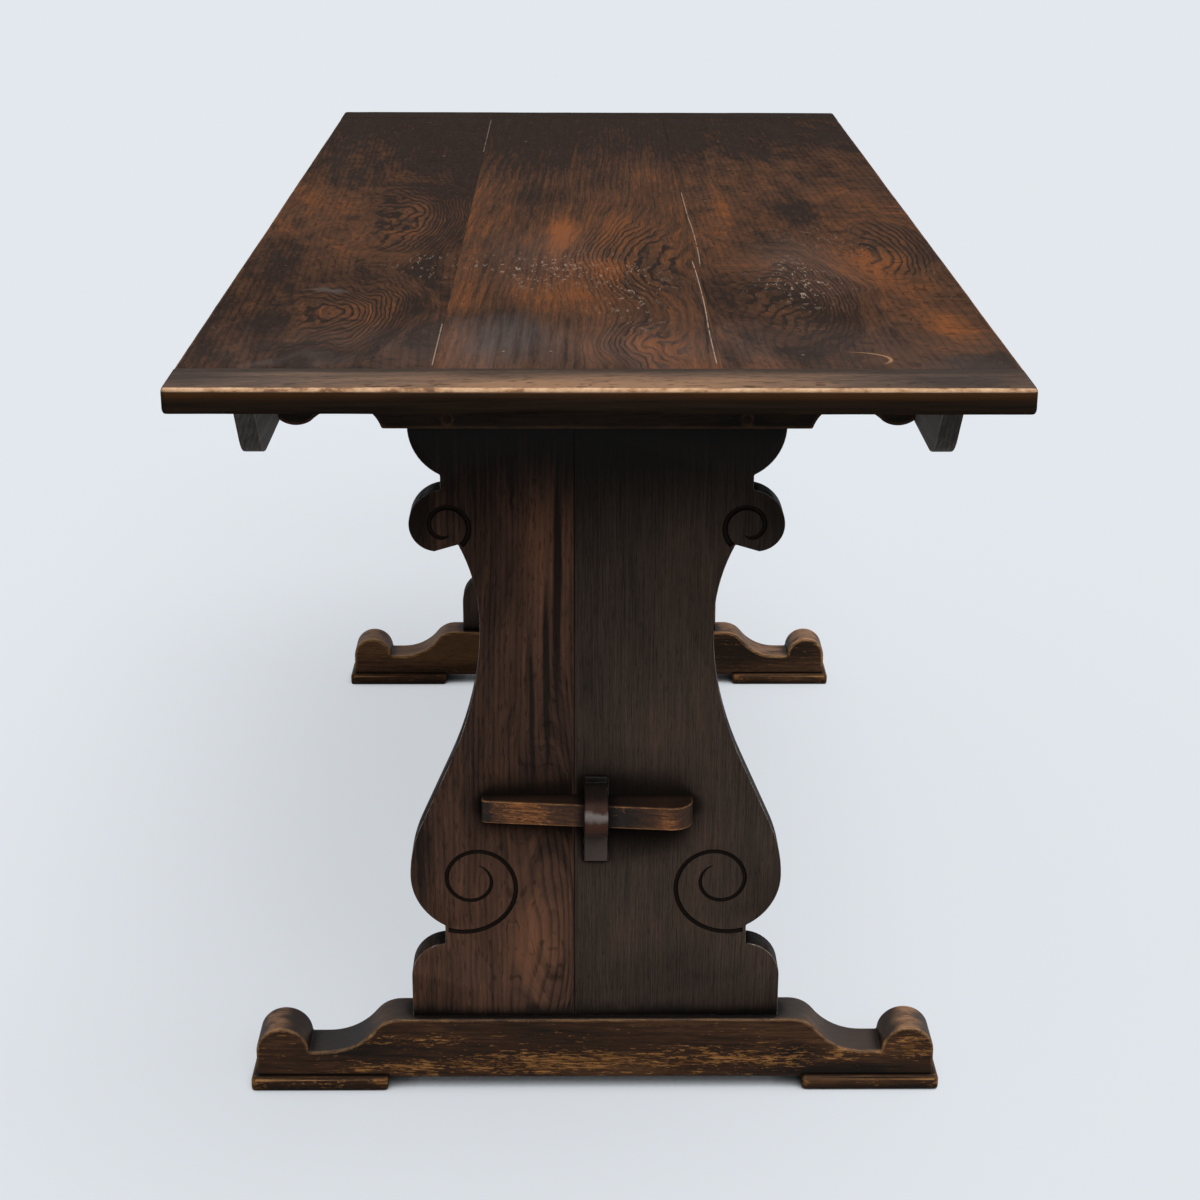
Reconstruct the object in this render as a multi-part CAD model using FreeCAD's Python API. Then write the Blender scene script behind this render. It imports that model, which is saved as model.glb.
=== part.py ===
"""Oak trestle dining table, in millimetres.

X runs across the table, Y along it and Z up. The origin is on the floor under the middle of the top.
The near trestle is at -Y. The far trestle is the same trestle turned half round the Z axis.
"""
import FreeCAD
import Part
import math
import os

from FreeCAD import Vector

# Table top: three planks between two cross-grained end boards
TABLE_HEIGHT = 762.0
TOP_LENGTH = 1524.0
TOP_WIDTH = 686.0
TOP_THICK = 22.0
TOP_CORNER_R = 5.0
TOP_ARRIS_R = 3.0
LEFT_PLANK_WIDTH = 209.0
MIDDLE_PLANK_WIDTH = 234.0
END_BOARD_DEPTH = 63.0
TONGUE_THICK = 7.0
TONGUE_LENGTH = 14.0
TONGUE_END_MARGIN = 20.0
EDGE_TONGUE_LENGTH = 7.0
TONGUE_TIP_GAP = 0.5

# Aprons: the two rails on edge under the top, with raked and rounded ends
APRON_THICK = 18.0
APRON_HEIGHT = 66.0
APRON_OVERHANG = 45.0
APRON_END_SETBACK = 58.5
APRON_RAKE_DEG = 52.0
APRON_TOE_R = 45.0
GLUE_BLOCK_LEG = 22.0
GLUE_BLOCK_LENGTH = 60.0
GLUE_BLOCKS_PER_SIDE = 3

# Trestles
TRESTLE_INSET = 234.5
FRAME_THICK = 44.0
PANEL_THICK = 28.0

# Bearer: the trestle's top rail. Outside the panel its lower edge is cut to an arch and a drooping lobe,
# placed along the run from the end of the level part to the apron.
BEARER_HEIGHT = 70.5
BEARER_FLAT_MARGIN = 21.7
ARCH_PLACE = 0.33
ARCH_RISE = 22.5
ARCH_INNER_BOW = 6.1
ARCH_OUTER_BOW = 2.7
DROOP_PLACE = 0.69
DROOP_START_RISE = 6.5
DROOP_END_RISE = 8.2
DROOP_BOW = 4.5

# Foot: a sled with a round knob at each end, housed a little over two pads
FOOT_LENGTH = 660.0
FOOT_HEIGHT = 64.0
FOOT_KNOB_R = 25.5
FOOT_SEAT_RISE = 28.5
FOOT_SEAT_LENGTH = 16.5
FOOT_CREST_MARGIN = 13.0
FOOT_SWELL_PLACE = 0.66
PAD_THICK = 15.0
PAD_HOUSING = 2.5
PAD_LENGTH = 133.5
PAD_PROUD = 4.5
PAD_END_PROUD = 6.0

# Panel: two boards glued edge to edge and sawn to one symmetrical outline.
# From the foot up: base, its shoulder, the lower neck and the lobe, as widths in or out and heights.
PANEL_JOINT_X = -20.5
BASE_HALF = 177.0
BASE_SIDE_HEIGHT = 43.5
BASE_SHOULDER_R = 35.0
BASE_STEP = 33.0
LOWER_NECK_HEIGHT = 19.6
LOBE_STEP = 32.0
LOBE_UNDER_HEIGHT = 52.8
# From the bearer down: ovolo, upper neck, volute, its lip and the hollow up to the lip from the waist.
WAIST_HALF = 106.8
HOLLOW_HEIGHT = 76.1
HOLLOW_STEP = 18.2
LIP_STEP = 21.5
LIP_DROP = 6.4
VOLUTE_STEP = 22.5
VOLUTE_UNDER_HEIGHT = 27.9
VOLUTE_UNDER_BOW = 7.4
VOLUTE_CROWN_HEIGHT = 30.3
VOLUTE_CROWN_BOW = 7.3
UPPER_NECK_STEP = 29.0
UPPER_NECK_HEIGHT = 13.7
OVOLO_R = 50.0
OVOLO_STEP = 28.3
# Flank between lobe and waist: two arcs and the line that touches both. A lean share of 1 leaves no line.
FLANK_LEAN_SHARE = 0.79
FLANK_LOBE_SHARE = 0.276

# Panel tenons, into the bearer above and the foot below
PANEL_TENON_THICK = 12.0
TENON_UP = 45.0
TENON_DOWN = 38.0
TENON_END_SHOULDER = 20.3
TENON_JOINT_SHOULDER = 15.0
PEG_R = 4.0
PEG_MARGIN = 16.0
PEG_RISE = 8.5
PEG_PROUD = 0.5

# Stretcher, its through tenon with a rounded nose, and the wedge key
STRETCHER_THICK = 22.0
STRETCHER_HEIGHT = 114.0
STRETCHER_BOTTOM = 232.0
TENON_BOTTOM_SHOULDER = 12.0
TENON_TOP_SHOULDER = 14.0
TENON_LEDGE = 3.0
NOSE_R = 24.0
NOSE_WALL = 11.7
NOSE_DROP = 30.5
KEY_HEIGHT = 23.0
KEY_THIN_REACH = 107.0
KEY_THICK_REACH = 90.0
KEY_DEPTH_MIDDLE = 25.3
KEY_TAPER = 0.1
KEY_THIN_CORNER_R = 5.0
KEY_THICK_CORNER_R = 20.0
KEY_CLEARANCE = 0.3
KEY_DRAW = 3.0

# Fixings
SCREW_R = 2.0
SCREW_HEAD_R = 4.0
SCREW_HEAD_HEIGHT = 3.0
FIXING_CLEARANCE = 0.1
TOP_SCREW_MARGIN = 15.0
TOP_SCREW_TILT_DEG = 18.0
TOP_SCREW_POCKET_R = 4.6
TOP_SCREW_POCKET_DROP = 34.0
TOP_SCREW_SEAT = 8.0
TOP_SCREW_BITE = 14.0
POCKET_LEAD = 30.0
APRON_SCREW_LENGTH = 48.0
APRON_SCREW_DROP = 30.0
NAIL_WIDTH = 2.6
NAIL_HEAD_WIDTH = 6.0
NAIL_HEAD_HEIGHT = 1.2
NAIL_SUNK = 0.6
NAIL_LENGTH = 32.0
NAIL_SPACING = 70.0

# Places of two edges closer than this are the same place
SAME_PLACE = 0.01

# Derived places
TOP_UNDERSIDE = TABLE_HEIGHT - TOP_THICK
TOP_HALF_LENGTH = TOP_LENGTH / 2
TOP_HALF_WIDTH = TOP_WIDTH / 2
PLANK_HALF_LENGTH = TOP_HALF_LENGTH - END_BOARD_DEPTH
LEFT_JOINT_X = LEFT_PLANK_WIDTH - TOP_HALF_WIDTH
RIGHT_JOINT_X = LEFT_JOINT_X + MIDDLE_PLANK_WIDTH
TONGUE_Z = TOP_UNDERSIDE + TOP_THICK / 2
APRON_OUTER_X = TOP_HALF_WIDTH - APRON_OVERHANG
APRON_INNER_X = APRON_OUTER_X - APRON_THICK
TRESTLE_Y = TRESTLE_INSET - TOP_HALF_LENGTH
PANEL_OUTER_Y = TRESTLE_Y - PANEL_THICK / 2
PANEL_INNER_Y = TRESTLE_Y + PANEL_THICK / 2
GLUE_BLOCK_SPACING = -2 * TRESTLE_Y / GLUE_BLOCKS_PER_SIDE
BEARER_BOTTOM = TOP_UNDERSIDE - BEARER_HEIGHT
VOLUTE_HALF = WAIST_HALF + HOLLOW_STEP + LIP_STEP + VOLUTE_STEP
UPPER_NECK_HALF = VOLUTE_HALF - UPPER_NECK_STEP
OVOLO_TOP_HALF = UPPER_NECK_HALF + OVOLO_STEP
BEARER_FLAT_HALF = OVOLO_TOP_HALF + BEARER_FLAT_MARGIN
TOP_SCREW_OUTER_X = BEARER_FLAT_HALF - TOP_SCREW_MARGIN
TOP_SCREW_X = (-TOP_SCREW_OUTER_X, 0, TOP_SCREW_OUTER_X)
PEG_X = OVOLO_TOP_HALF - TENON_END_SHOULDER - PEG_MARGIN
FOOT_BOTTOM = PAD_THICK - PAD_HOUSING
FOOT_TOP = FOOT_BOTTOM + FOOT_HEIGHT
FOOT_HALF_LENGTH = FOOT_LENGTH / 2
FOOT_CREST_HALF = BASE_HALF + FOOT_CREST_MARGIN
PAD_OUTER_X = FOOT_HALF_LENGTH + PAD_END_PROUD
PAD_INNER_X = PAD_OUTER_X - PAD_LENGTH
TENON_BOTTOM = STRETCHER_BOTTOM + TENON_BOTTOM_SHOULDER
TENON_TOP = STRETCHER_BOTTOM + STRETCHER_HEIGHT - TENON_TOP_SHOULDER
KEY_MID_Z = TENON_TOP - NOSE_DROP
KEY_BOTTOM = KEY_MID_Z - KEY_HEIGHT / 2
NOSE_REACH = KEY_DEPTH_MIDDLE + NOSE_WALL

X_AXIS = Vector(1, 0, 0)
Y_AXIS = Vector(0, 1, 0)
Z_AXIS = Vector(0, 0, 1)
ORIGIN = Vector(0, 0, 0)


def block(x_from, x_to, y_from, y_to, z_from, z_to):
    """A box between two corners."""
    return Part.makeBox(x_to - x_from, y_to - y_from, z_to - z_from, Vector(x_from, y_from, z_from))


def line(start, end):
    return Part.LineSegment(start, end).toShape()


def arc(start, through, end):
    return Part.Arc(start, through, end).toShape()


def bowed_arc(start, end, bow):
    """Arc in the XZ plane that stands off its chord by a set height, on the right when positive."""
    chord = end - start
    right = Vector(chord.z, 0, -chord.x).normalize()
    return arc(start, (start + end) * 0.5 + right * bow, end)


def upright_arc(upright, other):
    """Arc in the XZ plane that is upright at one of its two ends."""
    chord = other - upright
    lean = math.atan2(abs(chord.x), abs(chord.z))
    radius = chord.Length / 2 / math.sin(lean)
    across = math.copysign(radius * (1 - math.cos(lean)), chord.x)
    along = math.copysign(radius * math.sin(lean), chord.z)
    return arc(upright, upright + Vector(across, 0, along), other)


def arc_point(centre, radius, degrees):
    """A point in the XZ plane on a circle, with the angle counted from +X towards +Z."""
    angle = math.radians(degrees)
    return Vector(centre.x + radius * math.cos(angle), 0, centre.z + radius * math.sin(angle))


def extrude(edges, direction):
    wire = Part.Wire(Part.__sortEdges__(edges))
    return Part.Face(wire).extrude(direction)


def symmetric_board(right_edges, bottom_end, top_end, y_centre, thick):
    """A board on edge in the XZ plane: the right-hand outline, its mirror image and two level lines."""
    left_edges = [edge.mirror(ORIGIN, X_AXIS) for edge in right_edges]
    bottom_line = line(bottom_end, Vector(-bottom_end.x, 0, bottom_end.z))
    top_line = line(top_end, Vector(-top_end.x, 0, top_end.z))
    board = extrude(right_edges + left_edges + [bottom_line, top_line], Y_AXIS * thick)
    board.translate(Y_AXIS * (y_centre - thick / 2))
    return board


def half_turn(shape):
    """The same piece in the far trestle."""
    turned = shape.copy()
    turned.rotate(ORIGIN, Z_AXIS, 180)
    return turned


def mirrored_in_x(shape):
    return shape.mirror(ORIGIN, X_AXIS)


def save(name, solids):
    """Write one node; a group of like fixings stays a compound of separate solids."""
    shape = solids[0] if len(solids) == 1 else Part.makeCompound(solids)
    shape.exportStep(os.path.join("parts", name + ".step"))


# ---------------------------------------------------------------- trestle panel

def flank_edges(lobe_side, waist):
    """Arc of the lobe, straight flank and arc of the waist; both arcs are upright at their far ends."""
    width = lobe_side.x - waist.x
    height = waist.z - lobe_side.z
    lean = 2 * math.atan2(width, height) * FLANK_LEAN_SHARE
    radii = (height * math.sin(lean) - width * math.cos(lean)) / (1 - math.cos(lean))
    lobe_r = radii * FLANK_LOBE_SHARE
    waist_r = radii - lobe_r
    lobe_centre = lobe_side - X_AXIS * lobe_r
    waist_centre = waist + X_AXIS * waist_r
    lean_deg = math.degrees(lean)
    lobe_end = arc_point(lobe_centre, lobe_r, lean_deg)
    waist_start = arc_point(waist_centre, waist_r, 180 + lean_deg)
    return [
        arc(lobe_side, arc_point(lobe_centre, lobe_r, lean_deg / 2), lobe_end),
        line(lobe_end, waist_start),
        arc(waist_start, arc_point(waist_centre, waist_r, 180 + lean_deg / 2), waist),
    ]


def base_edges():
    """Right-hand outline of the panel's base and lower neck, and the point where the lobe begins."""
    base_corner = Vector(BASE_HALF, 0, FOOT_TOP)
    shoulder_centre = base_corner + Vector(-BASE_SHOULDER_R, 0, BASE_SIDE_HEIGHT)
    shoulder_deg = math.degrees(math.acos(1 - BASE_STEP / BASE_SHOULDER_R))
    shoulder_start = arc_point(shoulder_centre, BASE_SHOULDER_R, 0)
    shoulder_end = arc_point(shoulder_centre, BASE_SHOULDER_R, shoulder_deg)
    lobe_bottom = shoulder_end + Z_AXIS * LOWER_NECK_HEIGHT
    edges = [
        line(base_corner, shoulder_start),
        arc(shoulder_start, arc_point(shoulder_centre, BASE_SHOULDER_R, shoulder_deg / 2), shoulder_end),
        line(shoulder_end, lobe_bottom),
    ]
    return edges, lobe_bottom


def head_edges():
    """Right-hand outline of the panel from the bearer down to the waist, and the point at the waist."""
    ovolo_centre = Vector(OVOLO_TOP_HALF - OVOLO_R, 0, BEARER_BOTTOM)
    ovolo_deg = -math.degrees(math.acos(1 - OVOLO_STEP / OVOLO_R))
    ovolo_top = arc_point(ovolo_centre, OVOLO_R, 0)
    ovolo_bottom = arc_point(ovolo_centre, OVOLO_R, ovolo_deg)
    neck_bottom = ovolo_bottom - Z_AXIS * UPPER_NECK_HEIGHT
    volute_side = neck_bottom + Vector(UPPER_NECK_STEP, 0, -VOLUTE_CROWN_HEIGHT)
    lip = volute_side - Vector(VOLUTE_STEP, 0, VOLUTE_UNDER_HEIGHT)
    cusp = lip + Vector(-LIP_STEP, 0, LIP_DROP)
    waist = cusp - Vector(HOLLOW_STEP, 0, HOLLOW_HEIGHT)
    edges = [
        arc(ovolo_top, arc_point(ovolo_centre, OVOLO_R, ovolo_deg / 2), ovolo_bottom),
        line(ovolo_bottom, neck_bottom),
        bowed_arc(volute_side, neck_bottom, VOLUTE_CROWN_BOW),
        bowed_arc(lip, volute_side, VOLUTE_UNDER_BOW),
        line(lip, cusp),
        upright_arc(waist, cusp),
    ]
    return edges, waist


def panel_right_edges():
    """Right-hand outline of the whole panel, from the foot up to the bearer."""
    base, lobe_bottom = base_edges()
    head, waist = head_edges()
    lobe_side = lobe_bottom + Vector(LOBE_STEP, 0, LOBE_UNDER_HEIGHT)
    return base + [upright_arc(lobe_side, lobe_bottom)] + flank_edges(lobe_side, waist) + head


def panel_tenons(board_half, z_from, z_to):
    """One tenon on each board of the panel, with a shoulder at the outer edge and at the glue joint."""
    outer = board_half - TENON_END_SHOULDER
    spans = [(-outer, PANEL_JOINT_X - TENON_JOINT_SHOULDER), (PANEL_JOINT_X + TENON_JOINT_SHOULDER, outer)]
    half = PANEL_TENON_THICK / 2
    return [block(x0, x1, TRESTLE_Y - half, TRESTLE_Y + half, z_from, z_to) for x0, x1 in spans]


def upper_tenons():
    return panel_tenons(OVOLO_TOP_HALF, BEARER_BOTTOM, BEARER_BOTTOM + TENON_UP)


def lower_tenons():
    return panel_tenons(BASE_HALF, FOOT_TOP - TENON_DOWN, FOOT_TOP)


def peg_cylinder(x, radius, proud):
    length = FRAME_THICK + 2 * proud
    start = Vector(x, TRESTLE_Y - length / 2, BEARER_BOTTOM + PEG_RISE)
    return Part.makeCylinder(radius, length, start, Y_AXIS)


def stretcher_mortise():
    half = STRETCHER_THICK / 2
    return block(-half, half, PANEL_OUTER_Y, PANEL_INNER_Y, TENON_BOTTOM, TENON_TOP)


def panel_boards():
    """The narrow board and the wide board of the near panel."""
    top_end = Vector(OVOLO_TOP_HALF, 0, BEARER_BOTTOM)
    bottom_end = Vector(BASE_HALF, 0, FOOT_TOP)
    panel = symmetric_board(panel_right_edges(), bottom_end, top_end, TRESTLE_Y, PANEL_THICK)
    for tenon in upper_tenons() + lower_tenons():
        panel = panel.fuse(tenon)
    panel = panel.cut(stretcher_mortise())
    for x in (-PEG_X, PEG_X):
        panel = panel.cut(peg_cylinder(x, PEG_R, PEG_PROUD))
    panel = panel.removeSplitter()
    narrow_side = block(-TOP_WIDTH, PANEL_JOINT_X, -TOP_LENGTH, 0, 0, TABLE_HEIGHT)
    wide_side = block(PANEL_JOINT_X, TOP_WIDTH, -TOP_LENGTH, 0, 0, TABLE_HEIGHT)
    return panel.common(narrow_side).Solids[0], panel.common(wide_side).Solids[0]


# ---------------------------------------------------------------- bearer and foot

def bearer():
    """Top rail of the trestle: level under the panel, then an arch and a drooping lobe to each apron."""
    run = APRON_INNER_X - BEARER_FLAT_HALF

    def at(place, rise):
        return Vector(BEARER_FLAT_HALF + place * run, 0, BEARER_BOTTOM + rise)

    flat_end = at(0, 0)
    arch_top = at(ARCH_PLACE, ARCH_RISE)
    droop_start = at(DROOP_PLACE, DROOP_START_RISE)
    droop_end = at(1, DROOP_END_RISE)
    top_end = Vector(APRON_INNER_X, 0, TOP_UNDERSIDE)
    edges = [
        bowed_arc(flat_end, arch_top, -ARCH_INNER_BOW),
        bowed_arc(arch_top, droop_start, -ARCH_OUTER_BOW),
        bowed_arc(droop_start, droop_end, DROOP_BOW),
        line(droop_end, top_end),
    ]
    rail = symmetric_board(edges, flat_end, top_end, TRESTLE_Y, FRAME_THICK)
    for tenon in upper_tenons():
        rail = rail.cut(tenon)
    for x in (-PEG_X, PEG_X):
        rail = rail.cut(peg_cylinder(x, PEG_R, PEG_PROUD))
    for x in TOP_SCREW_X:
        rail = rail.cut(top_screw_bore(x))
    for side in (-1, 1):
        rail = rail.cut(apron_screw(side, FIXING_CLEARANCE))
    return rail


def foot():
    """Sled foot: end knob, low seat, hollow and swell up to the level crest under the panel."""
    seat_z = FOOT_BOTTOM + FOOT_SEAT_RISE
    knob_centre = Vector(FOOT_HALF_LENGTH - FOOT_KNOB_R, 0, seat_z)
    bottom_end = Vector(FOOT_HALF_LENGTH, 0, FOOT_BOTTOM)
    crest_end = Vector(FOOT_CREST_HALF, 0, FOOT_TOP)
    seat_end = Vector(knob_centre.x - FOOT_KNOB_R - FOOT_SEAT_LENGTH, 0, seat_z)
    climb = crest_end - seat_end
    turn = 2 * math.atan2(climb.z, -climb.x)
    turn_deg = math.degrees(turn)
    radii = climb.z / (1 - math.cos(turn))
    hollow_r = radii * FOOT_SWELL_PLACE
    swell_r = radii - hollow_r
    hollow_centre = seat_end + Z_AXIS * hollow_r
    swell_centre = crest_end - Z_AXIS * swell_r
    inflection = arc_point(hollow_centre, hollow_r, -90 - turn_deg)
    edges = [
        line(bottom_end, arc_point(knob_centre, FOOT_KNOB_R, 0)),
        arc(arc_point(knob_centre, FOOT_KNOB_R, 0), arc_point(knob_centre, FOOT_KNOB_R, 90),
            arc_point(knob_centre, FOOT_KNOB_R, 180)),
        line(arc_point(knob_centre, FOOT_KNOB_R, 180), seat_end),
        arc(seat_end, arc_point(hollow_centre, hollow_r, -90 - turn_deg / 2), inflection),
        arc(inflection, arc_point(swell_centre, swell_r, 90 - turn_deg / 2), crest_end),
    ]
    sled = symmetric_board(edges, bottom_end, crest_end, TRESTLE_Y, FRAME_THICK)
    for tenon in lower_tenons():
        sled = sled.cut(tenon)
    half = FRAME_THICK / 2
    housing = block(PAD_INNER_X, PAD_OUTER_X, TRESTLE_Y - half, TRESTLE_Y + half, FOOT_BOTTOM, PAD_THICK)
    sled = sled.cut(housing).cut(mirrored_in_x(housing))
    for x in pad_nail_places():
        sled = sled.cut(pad_nail_hole(x))
    return sled


def pad_right():
    """Right-hand pad under the near foot, its upper edge rounded where it stands proud of the foot."""
    half = FRAME_THICK / 2 + PAD_PROUD
    pad = block(PAD_INNER_X, PAD_OUTER_X, TRESTLE_Y - half, TRESTLE_Y + half, 0, PAD_THICK)
    top_edges = [edge for edge in pad.Edges if edge.BoundBox.ZMin > PAD_THICK / 2]
    proud_edges = [edge for edge in top_edges if edge.BoundBox.XMax > PAD_INNER_X + PAD_PROUD]
    pad = pad.makeFillet(PAD_PROUD, proud_edges)
    for x in pad_nail_places():
        pad = pad.cut(pad_nail_hole(x))
    return pad


# ---------------------------------------------------------------- stretcher and wedge key

def key_front_depth(x):
    """How far the key's tapered front face stands off the panel's outer face."""
    return KEY_DEPTH_MIDDLE + KEY_TAPER * x


def key_outline_corners(x_thin, x_thick, back_depth, front_extra):
    """Plan corners of the key or its slot: thin end, thick end, back and tapered front."""
    def at(x, depth):
        return Vector(x, PANEL_OUTER_Y - depth, 0)

    return [
        at(x_thin, back_depth),
        at(x_thick, back_depth),
        at(x_thick, key_front_depth(x_thick) + front_extra),
        at(x_thin, key_front_depth(x_thin) + front_extra),
    ]


def prism(corners, z_from, height):
    wire = Part.makePolygon(corners + corners[:1])
    solid = Part.Face(wire).extrude(Z_AXIS * height)
    solid.translate(Z_AXIS * z_from)
    return solid


def upright_edge(solid, corner):
    """The vertical edge of a prism over one of its plan corners."""
    for edge in solid.Edges:
        box = edge.BoundBox
        upright = box.XLength < SAME_PLACE and box.YLength < SAME_PLACE
        offset = Vector(box.Center.x - corner.x, box.Center.y - corner.y, 0)
        if upright and offset.Length < SAME_PLACE:
            return edge


def wedge_key():
    """Horizontal wedge: its back slides on the panel, its front tapers, its ends are rounded off."""
    corners = key_outline_corners(-KEY_THIN_REACH, KEY_THICK_REACH, KEY_CLEARANCE, 0)
    key = prism(corners, KEY_BOTTOM, KEY_HEIGHT)
    key = key.makeFillet(KEY_THICK_CORNER_R, [upright_edge(key, corners[2])])
    return key.makeFillet(KEY_THIN_CORNER_R, [upright_edge(key, corners[3])])


def key_slot():
    """Slot through the tenon for the key; its inner end lies inside the panel, so the key can draw tight."""
    corners = key_outline_corners(-STRETCHER_THICK, STRETCHER_THICK, -KEY_DRAW, KEY_CLEARANCE)
    return prism(corners, KEY_BOTTOM - KEY_CLEARANCE, KEY_HEIGHT + 2 * KEY_CLEARANCE)


def through_tenon():
    """Near end of the stretcher outside its shoulder: tenon, ledge and half-round nose."""
    half = STRETCHER_THICK / 2
    ledge_y = PANEL_OUTER_Y - TENON_LEDGE
    tip_y = PANEL_OUTER_Y - NOSE_REACH
    centre_y = tip_y + NOSE_R
    tenon = block(-half, half, ledge_y, PANEL_INNER_Y, TENON_BOTTOM, TENON_TOP)
    low = Vector(-half, ledge_y, KEY_MID_Z - NOSE_R)
    low_front = Vector(-half, centre_y, KEY_MID_Z - NOSE_R)
    tip = Vector(-half, tip_y, KEY_MID_Z)
    high_front = Vector(-half, centre_y, KEY_MID_Z + NOSE_R)
    high = Vector(-half, ledge_y, KEY_MID_Z + NOSE_R)
    nose_edges = [
        line(low, low_front),
        arc(low_front, tip, high_front),
        line(high_front, high),
        line(high, low),
    ]
    nose = extrude(nose_edges, X_AXIS * STRETCHER_THICK)
    return tenon.fuse(nose).cut(key_slot()).removeSplitter()


def stretcher():
    half = STRETCHER_THICK / 2
    top_z = STRETCHER_BOTTOM + STRETCHER_HEIGHT
    board = block(-half, half, PANEL_INNER_Y, -PANEL_INNER_Y, STRETCHER_BOTTOM, top_z)
    near_end = through_tenon()
    return board.fuse(near_end).fuse(half_turn(near_end)).removeSplitter()


# ---------------------------------------------------------------- top and aprons

def top_blank():
    """The whole top as one slab, with round corners and eased arrises, before it is divided."""
    slab_corner = Vector(-TOP_HALF_WIDTH, -TOP_HALF_LENGTH, TOP_UNDERSIDE)
    slab = Part.makeBox(TOP_WIDTH, TOP_LENGTH, TOP_THICK, slab_corner)
    corner_edges = [edge for edge in slab.Edges if edge.BoundBox.ZLength > TOP_THICK / 2]
    slab = slab.makeFillet(TOP_CORNER_R, corner_edges)
    rim_edges = [edge for edge in slab.Edges if edge.BoundBox.ZLength < TOP_THICK / 2]
    return slab.makeFillet(TOP_ARRIS_R, rim_edges)


def plank(blank, x_from, x_to):
    """One plank between the end boards, with a tongue at each end."""
    body = blank.common(block(x_from, x_to, -PLANK_HALF_LENGTH, PLANK_HALF_LENGTH, 0, TABLE_HEIGHT))
    tongue_from = max(x_from, TONGUE_END_MARGIN - TOP_HALF_WIDTH)
    tongue_to = min(x_to, TOP_HALF_WIDTH - TONGUE_END_MARGIN)
    half = TONGUE_THICK / 2
    reach = PLANK_HALF_LENGTH + TONGUE_LENGTH
    return body.fuse(block(tongue_from, tongue_to, -reach, reach, TONGUE_Z - half, TONGUE_Z + half))


def edge_tongue(joint_x, direction, tip_gap):
    """Tongue along a plank's edge, or with no tip gap the groove that takes it."""
    half = TONGUE_THICK / 2
    tip_x = joint_x + direction * (EDGE_TONGUE_LENGTH - tip_gap)
    reach = PLANK_HALF_LENGTH + (0 if tip_gap else TONGUE_LENGTH)
    return block(min(joint_x, tip_x), max(joint_x, tip_x), -reach, reach, TONGUE_Z - half, TONGUE_Z + half)


def bored_for_top_screws(board):
    for x in TOP_SCREW_X:
        near_bore = top_screw_bore(x)
        board = board.cut(near_bore).cut(half_turn(near_bore))
    return board


def planks(blank):
    left = plank(blank, -TOP_HALF_WIDTH, LEFT_JOINT_X)
    middle = plank(blank, LEFT_JOINT_X, RIGHT_JOINT_X)
    right = plank(blank, RIGHT_JOINT_X, TOP_HALF_WIDTH)
    middle = middle.cut(edge_tongue(LEFT_JOINT_X, 1, 0)).cut(edge_tongue(RIGHT_JOINT_X, -1, 0))
    left = left.fuse(edge_tongue(LEFT_JOINT_X, 1, TONGUE_TIP_GAP)).removeSplitter()
    right = right.fuse(edge_tongue(RIGHT_JOINT_X, -1, TONGUE_TIP_GAP)).removeSplitter()
    return [bored_for_top_screws(board) for board in (left, middle, right)]


def end_board(blank):
    """Near end board across the planks' ends, grooved for their tongues."""
    board = blank.common(block(-TOP_WIDTH, TOP_WIDTH, -TOP_LENGTH, -PLANK_HALF_LENGTH, 0, TABLE_HEIGHT))
    half = TONGUE_THICK / 2
    reach = TOP_HALF_WIDTH - TONGUE_END_MARGIN + TONGUE_TIP_GAP
    groove_y = -PLANK_HALF_LENGTH - TONGUE_LENGTH - TONGUE_TIP_GAP
    groove = block(-reach, reach, groove_y, -PLANK_HALF_LENGTH, TONGUE_Z - half, TONGUE_Z + half)
    return board.cut(groove)


def apron_right():
    """Rail under the right-hand side: each end is raked back and runs into the lower edge in a round toe."""
    rake = math.radians(APRON_RAKE_DEG)
    end_y = TOP_HALF_LENGTH - APRON_END_SETBACK
    bottom_z = TOP_UNDERSIDE - APRON_HEIGHT
    toe_centre_z = bottom_z + APRON_TOE_R
    corner_y = end_y - APRON_HEIGHT / math.tan(rake)
    toe_centre_y = corner_y - APRON_TOE_R * math.tan(rake / 2)
    rake_end_y = toe_centre_y + APRON_TOE_R * math.sin(rake)
    rake_end_z = toe_centre_z - APRON_TOE_R * math.cos(rake)
    toe_mid_y = toe_centre_y + APRON_TOE_R * math.sin(rake / 2)
    toe_mid_z = toe_centre_z - APRON_TOE_R * math.cos(rake / 2)

    def at(y, z):
        return Vector(APRON_INNER_X, y, z)

    edges = [line(at(-end_y, TOP_UNDERSIDE), at(end_y, TOP_UNDERSIDE))]
    edges.append(line(at(-toe_centre_y, bottom_z), at(toe_centre_y, bottom_z)))
    for side in (-1, 1):
        edges.append(line(at(side * end_y, TOP_UNDERSIDE), at(side * rake_end_y, rake_end_z)))
        edges.append(arc(at(side * rake_end_y, rake_end_z), at(side * toe_mid_y, toe_mid_z),
                         at(side * toe_centre_y, bottom_z)))
    rail = extrude(edges, X_AXIS * APRON_THICK)
    bore = apron_screw(1, FIXING_CLEARANCE)
    return rail.cut(bore).cut(bore.mirror(ORIGIN, Y_AXIS))


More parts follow.
